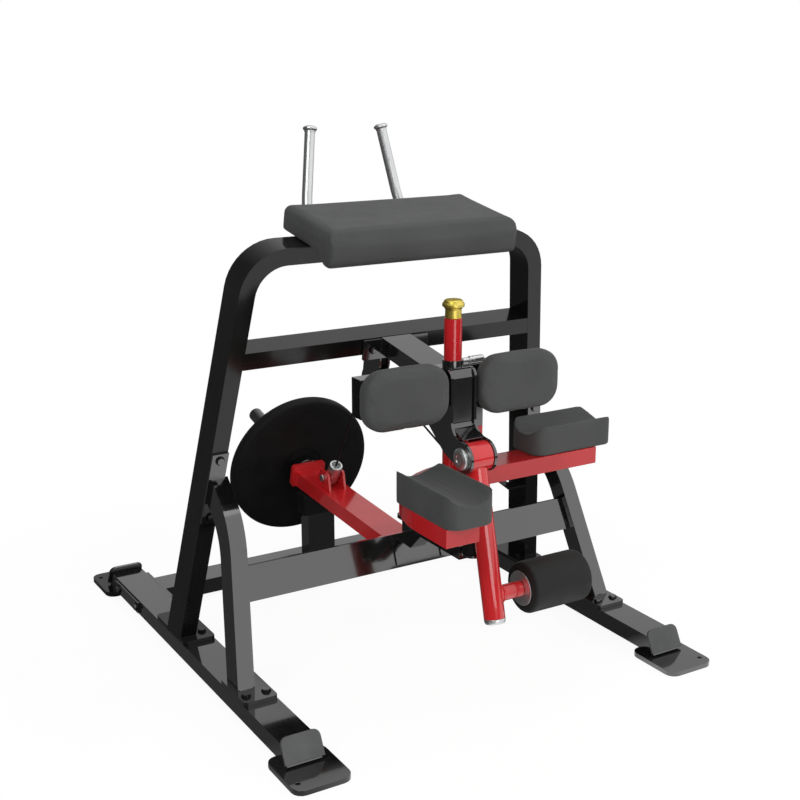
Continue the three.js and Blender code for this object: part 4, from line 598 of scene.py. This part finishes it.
# ankle roller: a core with two end discs, foam over it, and the retainer on the spindle's end
coreSet = {"bore": 13, "tube": 26, "disc": 50, "start": 95.3, "end": 305, "thick": 3}
bore, tube, disc, start, end, thick = sizes(coreSet, "bore tube disc start end thick")
joined("roller_core", [
    turnedPart([(bore, start), (disc, start), (disc, start + thick), (tube, start + thick),
                (tube, end - thick), (disc, end - thick), (disc, end), (bore, end), (bore, start)],
               rollerAt, unitX, 96, 0.7),
], zincSteel, "roller")
rollerSet = {"bore": 26.6, "radius": 73.5, "start": 98.6, "end": 301.7, "round": 22, "shoulder": 6}
bore, radius, start, end, curve, fall = sizes(rollerSet, "bore radius start end round shoulder")
rollerFoam = joined("roller_foam", [
    turnedPart([(bore, start), (56, start + 0.2, 8), (radius, start + fall, curve),
                (radius + 0.2, 195, 0), (radius, end - fall, curve), (56, end - 0.2, 8),
                (bore, end), (bore, start)], rollerAt, unitX, 128, 0),
], nitrileFoam, "roller", 60)
retainerSet = {"bore": 12.9, "radius": 20, "start": 305.3, "bottom": 315.5, "end": 323}
bore, radius, start, bottom, end = sizes(retainerSet, "bore radius start bottom end")
joined("roller_retainer", [
    turnedPart([(bore, start), (radius, start), (radius, end - 3, 3), (14, end, 2), (0, end),
                (0, bottom), (bore, bottom), (bore, start)], rollerAt, unitX, 64, 0.6),
], zincSteel, "arm")

# lift post, its cap and the pull pin that locks it
postSet = {"y": -460, "inner": 21, "outer": 25, "low": 628.4, "high": 1061.9, "seat": 0.4}
inner, outer, low, high = sizes(postSet, "inner outer low high")
postAt = place(0, postSet["y"], 0)
joined("lift_post", [
    turnedPart([(inner, low), (outer, low), (outer, high), (inner, high), (inner, low)],
               postAt, unitZ, 96, 1),
], redCoat, "platform")
capLow = high + postSet["seat"]
joined("post_cap", [
    turnedPart([(0, capLow), (22.5, capLow), (23, capLow + 2), (22.6, capLow + 24, 6),
                (27, capLow + 31, 4), (31, capLow + 33, 3), (31, capLow + 41, 4),
                (27.5, capLow + 44.5, 3), (26, capLow + 48.5, 3), (22, capLow + 51.4, 2),
                (0, capLow + 51.4)], postAt, unitZ, 96, 1),
], goldAnodised, "platform")
pinSet = {"at": (0, -455, 937), "tip": 4, "body": 6.8, "knob": 9.5, "start": 25.2, "end": 106}
tip, body, knob, start, end = sizes(pinSet, "tip body knob start end")
joined("pull_pin", [
    turnedPart([(0, start), (tip, start), (tip, 30.4), (body, 30.4), (body, 55), (knob, 57, 2),
                (knob, 66, 1), (8.6, 67.5, 1), (knob, 69, 1), (knob, end - 4, 3), (6, end, 2),
                (0, end)], place(*pinSet["at"]), unitX, 64, 0.8),
], stainlessSteel, "pin")

# rear lever: its shaft with two collars on each side, the plate-stop disc and the weight horn
shaftSet = {"at": (0, -165, 306), "radius": 15, "collar": 22, "half": 31, "end": 92}
shaft, collar, half, end = sizes(shaftSet, "radius collar half end")
leverAt = place(*shaftSet["at"])
joined("lever_shaft", [turnedPart(profile, leverAt, unitX, 64, 0.8) for profile in bothEnds([
    (0, half - 1), (shaft, half - 1), (shaft, 50.3), (collar, 50.3), (collar, 72.6),
    (shaft, 72.6), (shaft, 83.4), (collar, 83.4), (collar, end - 1, 1.5), (18, end, 1),
    (0, end)])] + [turnedPart(rod(shaft, -half, half), leverAt, unitX, 64)],
    zincSteel, "lever")
hornSet = {"at": (0, 455, 357), "tilt": 14.7, "radius": 25, "end": 431, "collar": 45,
           "collarEnd": 35.7, "weld": 2.2, "weldOut": 0.6, "weldAt": 1.6}
hornAt = place(*hornSet["at"])
hornTilt = math.radians(hornSet["tilt"])
hornWay = Vector((0, math.cos(hornTilt), math.sin(hornTilt)))
discSet = {"start": 36, "end": 88, "radius": 255, "round": 20, "bore": 25.3, "boss": 70,
           "faceFrom": 74, "faceTo": 222}
bore, boss, faceFrom, faceTo = sizes(discSet, "bore boss faceFrom faceTo")
radius, curve, start, end = sizes(discSet, "radius round start end")
joined("plate_stop_disc", [
    turnedPart([(bore, start + 3), (boss, start + 3, 3), (faceFrom, start + 0.2, 2),
                (faceTo, start + 0.2, 3), (radius - 1, start + 4, curve),
                (radius, (start + end) / 2, 0), (radius - 1, end - 4, curve),
                (faceTo, end - 0.2, 3), (faceFrom, end - 0.2, 2), (boss, end - 3, 3),
                (bore, end - 3), (bore, start + 3)], hornAt, hornWay, 160, 2),
], mouldedRubber, "lever", 50)
radius, end, collar, collarEnd = sizes(hornSet, "radius end collar collarEnd")
joined("weight_horn", [
    turnedPart([(0, 0.3), (collar, 0.3), (collar, 33, 2), (41, collarEnd, 2), (radius, collarEnd),
                (radius, end - 4, 3), (21, end, 2), (0, end)], hornAt, hornWay, 96, 1),
    weldRing(collar + hornSet["weldOut"], hornSet["weld"],
             hornAt + hornWay * hornSet["weldAt"] * mm, hornWay),
], blackCoat, "lever")


# tubes along a path, in metres
def sweep(points, radius, sides, twist=0.0, ripple=0.0, strands=0):
    # a closed round tube, whose strands stand out by the ripple and turn with the way travelled
    bm = bmesh.new()
    rings = []
    side = (points[1] - points[0]).normalized().orthogonal().normalized()
    travelled = 0.0
    for i, point in enumerate(points):
        way = (points[min(i + 1, len(points) - 1)] - points[max(i - 1, 0)]).normalized()
        side = (side - way * side.dot(way)).normalized()
        other = way.cross(side)
        if i:
            travelled += (point - points[i - 1]).length
        ring = []
        for k in range(sides):
            angle = fullTurn * k / sides
            r = radius - ripple * (0.5 - 0.5 * math.cos(strands * (angle + twist * travelled)))
            ring.append(bm.verts.new(point + side * (r * math.cos(angle)) +
                                     other * (r * math.sin(angle))))
        rings.append(ring)
    for lower, upper in zip(rings, rings[1:]):
        bridge(bm, lower, upper)
    bm.faces.new(list(reversed(rings[0])))
    bm.faces.new(rings[-1])
    bmesh.ops.recalc_face_normals(bm, faces=bm.faces)
    return meshOf(bm, "sweep")


def bentPath(points, reach, steps):
    # straights joined by smooth bends
    path = [points[0]]
    for before, here, after in zip(points, points[1:], points[2:]):
        back = here + (before - here).normalized() * reach
        ahead = here + (after - here).normalized() * reach
        for k in range(steps + 1):
            t = k / steps
            path.append(back * (1 - t) ** 2 + here * (2 * t * (1 - t)) + ahead * t ** 2)
    path.append(points[-1])
    return path


# the hoop leans back: x across it, d through its depth, w up its lean, all in millimetres
hoopLean = math.radians(9.52)
hoopUp = Vector((0, math.cos(hoopLean), math.sin(hoopLean)))
hoopFront = Vector((0, -math.cos(hoopLean), -math.sin(hoopLean)))
railTop = 65.3


def hoopPlace(x, d, w):
    return place(x, d * math.cos(hoopLean) - w * math.sin(hoopLean),
                 railTop + w * math.cos(hoopLean) + d * math.sin(hoopLean))


# hand grips: a bent bar with a foot flange, and a sleeve with its rounded end
gripSet = {"foot": (170, 100.3, 1175), "straight": 173, "middle": (157, 104, 1333),
           "tip": (121, 144.5, 1550), "radius": 15.7, "bend": 30, "sleeve": 17, "start": -262}
sleeve, start = sizes(gripSet, "sleeve start")
for side, sign in (("left", -1), ("right", 1)):
    base, middle, tip = [where(sign * x, y, z) for where, (x, y, z) in (
        (hoopPlace, gripSet["foot"]), (place, gripSet["middle"]), (place, gripSet["tip"]))]
    corner = base + hoopUp * gripSet["straight"] * mm
    upWay = (tip - middle).normalized()
    joined(f"hand_grip_{side}", [
        sweep(bentPath([base, corner, middle, tip], gripSet["bend"] * mm, 14),
              gripSet["radius"] * mm, 48),
        turnedPart([(0, 0), (24, 0), (24, 5, 1.5), (sleeve, 6, 1), (0, 6)], base, hoopUp, 64, 1),
        turnedPart([(0, -16), (sleeve, -16), (sleeve, -12, 2), (21.5, -8, 3), (21.5, -2, 5),
                    (13, 2.5, 4), (0, 2.6)], tip, upWay, 64, 0.8),
        turnedPart(rod(sleeve, start, start + 6), tip, upWay, 64, 0.8),
    ], stainlessSteel, "frame", 40)

# pulley with a grooved rim and a thin web
pulleySet = {"at": (-28, 65, 735), "bore": 7.5, "half": 11, "rim": 47.6, "groove": 39.7}
pulleyAt = hoopPlace(*pulleySet["at"])
pulleySide = [(pulleySet["bore"], 11), (14, 11, 1), (15, 8, 1), (34, 6, 3), (38, 10.6, 2),
              (pulleySet["rim"], 11, 1.5), (47.9, 5.5, 1), (pulleySet["groove"], 4, 3)]
joined("pulley", [
    turnedPart([(r, -along, *rest) for r, along, *rest in pulleySide] + pulleySide[::-1] +
               [(pulleySet["bore"], -11)], pulleyAt, unitX, 96, 1),
], mouldedNylon, "pulley_wheel")

# rubber stop under the arm, turned about the middle of its solid
stopLow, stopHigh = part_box("stop_rubber")
stopAt = Vector(((stopLow.x + stopHigh.x) / 2, (stopLow.y + stopHigh.y) / 2, stopLow.z))
stopSet = {"end": 27, "bulge": 30, "waist": 28.6, "tall": 58}
end, bulge, waist, tall = sizes(stopSet, "end bulge waist tall")
joined("stop_rubber", [
    turnedPart([(0, 0), (end, 0, 2), (bulge, 4, 3), (waist, 20, 8), (waist, 38, 8), (bulge, 54, 3),
                (26, tall, 3), (0, tall)], stopAt, unitZ, 96, 1),
], mouldedRubber, "frame", 50)
print("turned pieces made")


# the cable: off the barrel, over the pulley and down to its socket on the lever, in millimetres
cableSet = {"radius": 3.0, "sides": 24, "strands": 6, "pitch": 38.0, "ripple": 0.28, "step": 6,
            "sharp": 50, "x": -28, "wrap": 45.0, "groove": 43.0, "arcSteps": 24,
            "lug": (267, 395), "socketLong": 52.3,
            "drumX": -20, "drumRadius": 45.3, "drumFrom": -66, "drumTurn": 86}


def cablePiece(node, points, body):
    # strands show as a fine slanting ripple
    twist = fullTurn / (cableSet["pitch"] * mm) / cableSet["strands"]
    mesh = sweep(points, cableSet["radius"] * mm, cableSet["sides"], twist,
                 cableSet["ripple"] * mm, cableSet["strands"])
    joined(node, [mesh], cableSheath, body, cableSet["sharp"])


def evenly(points, step):
    result = [points[0]]
    for a, b in zip(points, points[1:]):
        count = max(1, int((b - a).length / step))
        result += [a.lerp(b, k / count) for k in range(1, count + 1)]
    return result


def arc(x, y, up, radius, angles):
    return [place(x, y + radius * math.cos(angle), up + radius * math.sin(angle))
            for angle in angles]


wrap, groove = cableSet["wrap"], cableSet["groove"]
lugY, lugUp = cableSet["lug"]
pulleyY, pulleyUp = pulleyAt.y / mm - shiftY, pulleyAt.z / mm
acrossY, acrossZ = pulleyY - hubY, pulleyUp - hubUp
crossAngle = math.atan2(acrossZ, acrossY) + math.asin(
    (wrap + groove) / math.hypot(acrossY, acrossZ))
lineY, lineZ = pulleyY - lugY, pulleyUp - lugUp
dropAngle = math.atan2(lineZ, lineY) - math.asin(groove / math.hypot(lineY, lineZ))
dropY, dropZ = math.cos(dropAngle), math.sin(dropAngle)
startTurn, endTurn = crossAngle + math.pi / 2, math.atan2(-dropY, dropZ)
arcSteps = cableSet["arcSteps"]
runPoints = [place(cableSet["x"], hubY + wrap * math.sin(crossAngle),
                   hubUp - wrap * math.cos(crossAngle))]
runPoints += arc(cableSet["x"], pulleyY, pulleyUp, groove,
                 [startTurn + (endTurn - startTurn) * k / arcSteps for k in range(arcSteps + 1)])
cablePiece("cable_run", evenly(runPoints, cableSet["step"] * mm), "frame")
# rings at its two ends alone, so the cable runs straight from the pulley to its socket
dropTop = runPoints[-1]
dropEnd = place(0, lugY + cableSet["socketLong"] * dropY, lugUp + cableSet["socketLong"] * dropZ)
dropPiece = makeObject("cable_drop_piece", sweep([dropTop, dropEnd], cableSet["radius"] * mm,
                                                 cableSet["sides"]), cableSheath)
shadeSmooth(dropPiece.data, cableSet["sharp"])
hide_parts("cable_drop")
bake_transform(dropPiece)
cablePiece("drum_cable", arc(
    cableSet["drumX"], hubY, hubUp, cableSet["drumRadius"],
    [math.radians(cableSet["drumFrom"] + cableSet["drumTurn"] * k / arcSteps)
     for k in range(arcSteps + 1)]), "arm")

# its socket, open at the top, and the pin that holds it between the lever's lugs
socketAt = place(0, lugY, lugUp)
socketSet = {"radius": 22, "end": 58, "pin": 7, "head": 12, "headIn": 32.3, "headOut": 40.3}
radius, end, pin, head, near, far = sizes(socketSet, "radius end pin head headIn headOut")
joined("cable_socket", [
    turnedPart([(0, -20), (17, -20, 3), (21.5, -15, 4), (radius, 20, 2), (21, 24, 3),
                (radius, 28, 3), (radius, end, 3), (15, end + 2, 3), (13, 38, 2), (0, 36)],
               socketAt, Vector((0, dropY, dropZ)), 64, 1.5),
    turnedPart([(0, -far), (head, -far), (head, -near), (pin, -near), (pin, near), (head, near),
                (head, far, 2), (0, far)], socketAt, unitX, 48, 1),
], zincSteel, "lever")
print("cable made")


# washers under the bolt heads: one ring on every bolt place, laid flat on its plate
washerSet = {"radius": 11.5, "width": 5.0, "thick": 1.6, "sides": 28}
boltSet = {"tops": ((586, 11), (586, 149), (581, -432), (641, -432)), "topUp": 77.6,   # x and y
           "sides": (364.5, 529.5), "sideX": 667.3, "sideUp": 40.3,                    # y
           "hoop": ((78, 870), (578.7, 412), (554.3, 588)), "hoopDepth": -8.3}  # x and way up it


def washerTree():
    tree = bpy.data.node_groups.new("washers", "GeometryNodeTree")
    tree.interface.new_socket("Geometry", in_out="INPUT", socket_type="NodeSocketGeometry")
    for name in ("Radius", "Width", "Thickness"):
        tree.interface.new_socket(name, in_out="INPUT", socket_type="NodeSocketFloat")
    tree.interface.new_socket("Geometry", in_out="OUTPUT", socket_type="NodeSocketGeometry")
    given = addNode(tree, "NodeGroupInput").outputs
    ring = addNode(tree, "GeometryNodeCurvePrimitiveCircle", {"Resolution": washerSet["sides"]},
                   [(given["Radius"], "Radius")])
    section = addNode(tree, "GeometryNodeCurvePrimitiveQuadrilateral", {}, [
        (given["Width"], "Width"), (given["Thickness"], "Height")])
    body = addNode(tree, "GeometryNodeCurveToMesh", {}, [
        (ring.outputs["Curve"], "Curve"), (section.outputs["Curve"], "Profile Curve")])
    way = addNode(tree, "GeometryNodeInputNamedAttribute", {
        "data_type": "FLOAT_VECTOR", "Name": "way"})
    laid = addNode(tree, "FunctionNodeAlignRotationToVector", {"axis": "Z"},
                   [(way.outputs["Attribute"], "Vector")])
    placed = addNode(tree, "GeometryNodeInstanceOnPoints", {}, [
        (given["Geometry"], "Points"), (body.outputs["Mesh"], "Instance"),
        (laid.outputs["Rotation"], "Rotation")])
    real = addNode(tree, "GeometryNodeRealizeInstances", {},
                   [(placed.outputs["Instances"], "Geometry")])
    dressed = addNode(tree, "GeometryNodeSetMaterial", {"Material": zincBlack},
                      [(real.outputs[0], "Geometry")])
    addNode(tree, "NodeGroupOutput", {}, [(dressed.outputs["Geometry"], "Geometry")])
    return tree


boltPlaces = []           # place in metres, and the way its head points
for sign in (-1, 1):
    boltPlaces += [(place(sign * x, y, boltSet["topUp"]), Vector(unitZ))
                   for x, y in boltSet["tops"]]
    boltPlaces += [(place(sign * boltSet["sideX"], y, boltSet["sideUp"]), Vector((sign, 0, 0)))
                   for y in boltSet["sides"]]
    boltPlaces += [(hoopPlace(sign * x, boltSet["hoopDepth"], w), hoopFront)
                   for x, w in boltSet["hoop"]]
washerMesh = bpy.data.meshes.new("washers")
washerMesh.from_pydata([spot + way * (washerSet["thick"] / 2 * mm) for spot, way in boltPlaces],
                       [], [])
wayValues = washerMesh.attributes.new("way", "FLOAT_VECTOR", "POINT")
for item, (spot, way) in zip(wayValues.data, boltPlaces):
    item.vector = way
washers = makeObject("bolt_washers", washerMesh, zincBlack)
scatter = washers.modifiers.new("washers", "NODES")
scatter.node_group = washerTree()
sockets = {item.name: item.identifier for item in scatter.node_group.interface.items_tree
           if item.in_out == "INPUT"}
for socket, size in (("Radius", "radius"), ("Width", "width"), ("Thickness", "thick")):
    scatter[sockets[socket]] = washerSet[size] * mm
shadeSmooth(baked(washers).data, 32)
dress(washers, "frame")
print("washers made:", len(boltPlaces), "bolts,", len(washers.data.polygons), "faces")


# upholstery: a plain form is skinned with even faces, blown up a little as cloth, held where it
# rests on its board, and brought back to the size of the solid that it stands for
padSet = {"fill": 0.9, "edgeSegments": 6, "relaxShare": 0.5, "cornerSteps": 12, "shade": 180}
clothSet = {"quality": 4, "mass": 0.4, "tension_stiffness": 20, "compression_stiffness": 20,
            "bending_stiffness": 2, "use_pressure": True}


def roundedLoop(corners):
    # a closed outline from (u, v, radius) corners in millimetres
    points = []
    for i, (u, v, radius) in enumerate(corners):
        here = Vector((u, v))
        if radius <= 0:
            points.append(here)
            continue
        before = (Vector(corners[i - 1][:2]) - here).normalized()
        after = (Vector(corners[(i + 1) % len(corners)][:2]) - here).normalized()
        half = before.angle(after) / 2
        centre = here + (before + after).normalized() * (radius / math.sin(half))
        start = here + before * (radius / math.tan(half)) - centre
        end = here + after * (radius / math.tan(half)) - centre
        turn = math.atan2(start.x * end.y - start.y * end.x, start.dot(end))
        for k in range(padSet["cornerSteps"] + 1):
            angle = turn * k / padSet["cornerSteps"]
            points.append(centre + Vector((start.x * math.cos(angle) - start.y * math.sin(angle),
                                           start.x * math.sin(angle) + start.y * math.cos(angle))))
    return points


def box(span, rise, radius):
    (u0, u1), (v0, v1) = span, rise
    return roundedLoop([(u0, v0, radius), (u1, v0, radius), (u1, v1, radius), (u0, v1, radius)])


def prism(outline, axis, start, end):
    # an outline in millimetres drawn out along x, y or z
    bm = bmesh.new()
    near, far = [], []
    for ring, along in ((near, start), (far, end)):
        for point in outline:
            spot = list(point)
            spot.insert("xyz".index(axis), along)
            ring.append(bm.verts.new(Vector(spot) * mm))
    bm.faces.new(near)
    bm.faces.new(list(reversed(far)))
    bridge(bm, near, far)
    bmesh.ops.recalc_face_normals(bm, faces=bm.faces)
    return meshOf(bm, "prism")


def carved(piece, mesh, operation):
    tool = makeObject("tool", mesh, charcoalVinyl)
    boolean = piece.modifiers.new("carve", "BOOLEAN")
    boolean.operation = operation
    boolean.solver = "EXACT"
    boolean.object = tool
    baked(piece)
    bpy.data.objects.remove(tool)
    bpy.data.meshes.remove(mesh)


def inflated(piece, spec):
    start = [v.co.copy() for v in piece.data.vertices]
    axis, side, depth = spec["held"]
    board = max(side * co[axis] for co in start)
    pin = piece.vertex_groups.new(name="pinned")
    pin.add([i for i, co in enumerate(start) if side * co[axis] > board - depth * mm],
            1.0, "REPLACE")
    cloth = piece.modifiers.new("cloth", "CLOTH").settings
    for setting, value in clothSet.items():
        setattr(cloth, setting, value)
    cloth.uniform_pressure_force = spec["pressure"]
    cloth.vertex_group_mass = "pinned"
    cloth.effector_weights.gravity = 0
    for step in range(1, spec["frames"] + 1):
        scene.frame_set(step)
    baked(piece)
    scene.frame_set(1)
    cap = spec["cap"] * mm
    for v, rest in zip(piece.data.vertices, start):
        move = v.co - rest
        if move.length > cap:
            v.co = rest + move * (cap / move.length)
    piece.vertex_groups.clear()


def puffed(node, body, spec, form, carvings, frameMatrix):
    piece = makeObject(node + "_piece", form, charcoalVinyl)
    for mesh, operation in carvings:
        carved(piece, mesh, operation)
    if spec["edge"]:
        bevelled(piece, spec["edge"], padSet["edgeSegments"])
    remesh = piece.modifiers.new("skin", "REMESH")
    remesh.mode = "VOXEL"
    remesh.voxel_size = spec["voxel"] * mm
    relax = piece.modifiers.new("relax", "SMOOTH")
    relax.factor = padSet["relaxShare"]
    relax.iterations = spec["relax"]
    baked(piece)
    inflated(piece, spec)
    finish = piece.modifiers.new("fine", "SUBSURF")
    finish.levels = finish.render_levels = 1
    baked(piece)
    for axis, (low, high) in enumerate(spec["size"]):
        values = [v.co[axis] for v in piece.data.vertices]
        least, most = min(values), max(values)
        stretch = (high - low) * mm / (most - least)
        for v in piece.data.vertices:
            v.co[axis] = low * mm + (v.co[axis] - least) * stretch
    piece.data.transform(frameMatrix)
    shadeSmooth(piece.data, padSet["shade"])
    dress(piece, body, [node])
    print("pad made:", node, len(piece.data.polygons))


# size is where a pad starts and ends along x, y and z; held is the axis and the end of it that
# lies on the board, and how deep the foam is held there; cap is how far the cloth may move

# thigh pads, about their own middle with the back at y = 0
thighSet = {"size": ((-132.5, 132.5), (-55, 0), (-86, 86)), "corner": 62,
            "at": (185.5, -484.6, 872), "edge": 17, "voxel": 4.5, "relax": 5, "pressure": 3,
            "frames": 14, "cap": 2.5, "held": (1, 1, 3)}
across, deep, up = thighSet["size"]
x, y, z = thighSet["at"]
for side, sign in (("left", -1), ("right", 1)):
    puffed(f"thigh_pad_{side}", "frame", thighSet,
           prism(box(across, up, thighSet["corner"]), "y", *deep), [],
           Matrix.Translation(place(sign * x, y, z)))

# chest pad in the hoop's leaning frame: a slab with a roll along its front edge, and a recess
# below for its board
chestSet = {"size": ((-309, 309), (-132, 174), (1167.3, 1274.3)), "low": 1200.3, "thick": 74,
            "rollDrop": 33, "rollRound": 32, "rollBack": (-84, -62), "ridge": 34, "slope": 20,
            "recess": ((-260.6, 260.6), (-45.6, 150.6)), "recessTop": 1213.2, "edge": 0,
            "voxel": 6, "relax": 4, "pressure": 3, "frames": 14, "cap": 1.8, "held": (2, -1, 34)}
(left, right), (front, back), _ = chestSet["size"]
low, top = chestSet["low"], chestSet["low"] + chestSet["thick"]
rollLow = low - chestSet["rollDrop"]
side = roundedLoop([
    (front, rollLow, chestSet["rollRound"]), (chestSet["rollBack"][0], rollLow, 8),
    (chestSet["rollBack"][1], low, 0), (back, low, 8), (back, top, 10),
    (front + chestSet["slope"], top, 14), (front, top - chestSet["ridge"], 14)])
ends = roundedLoop([(left, rollLow, 14), (right, rollLow, 14), (right, top, 20), (left, top, 20)])
puffed("chest_pad", "frame", chestSet, prism(side, "x", left, right), [
    (prism(ends, "y", -200, 240), "INTERSECT"),
    (prism(box((left, right), (front, back), 10), "z", 1100, 1320), "INTERSECT"),
    (prism(box(*chestSet["recess"], 12), "z", 1150, chestSet["recessTop"]), "DIFFERENCE")],
    Matrix.Translation(place(0, 0, railTop)) @ Matrix.Rotation(hoopLean, 4, "X"))

# knee troughs: a block with a round channel from end to end
kneeSet = {"size": ((-72.5, 72.5), (-145, 145), (0, 86)), "deep": 31, "lip": 4, "corner": 40,
           "channelSteps": 160, "edge": 0, "voxel": 3.2, "relax": 1, "pressure": 1.5,
           "frames": 12, "cap": 2, "held": (2, -1, 3),
           "places": {"left": (-212.5, -745, 628.6, 0), "right": (407, -437.5, 628.6, 90)}}
across, along, up = kneeSet["size"]
halfWide = across[1] - kneeSet["lip"]
radius = (halfWide ** 2 + kneeSet["deep"] ** 2) / (2 * kneeSet["deep"])
middle = up[1] - kneeSet["deep"] + radius
angles = [fullTurn * k / kneeSet["channelSteps"] for k in range(kneeSet["channelSteps"])]
channel = [Vector((radius * math.cos(angle), middle + radius * math.sin(angle)))
           for angle in angles]
for side, (x, y, z, degrees) in kneeSet["places"].items():
    block = prism(box(across, along, kneeSet["corner"]), "z", *up)
    puffed(f"knee_pad_{side}", "platform", kneeSet, block,
           [(prism(channel, "y", -260, 260), "DIFFERENCE")],
           Matrix.Translation(place(x, y, z)) @ Matrix.Rotation(math.radians(degrees), 4, "Z"))
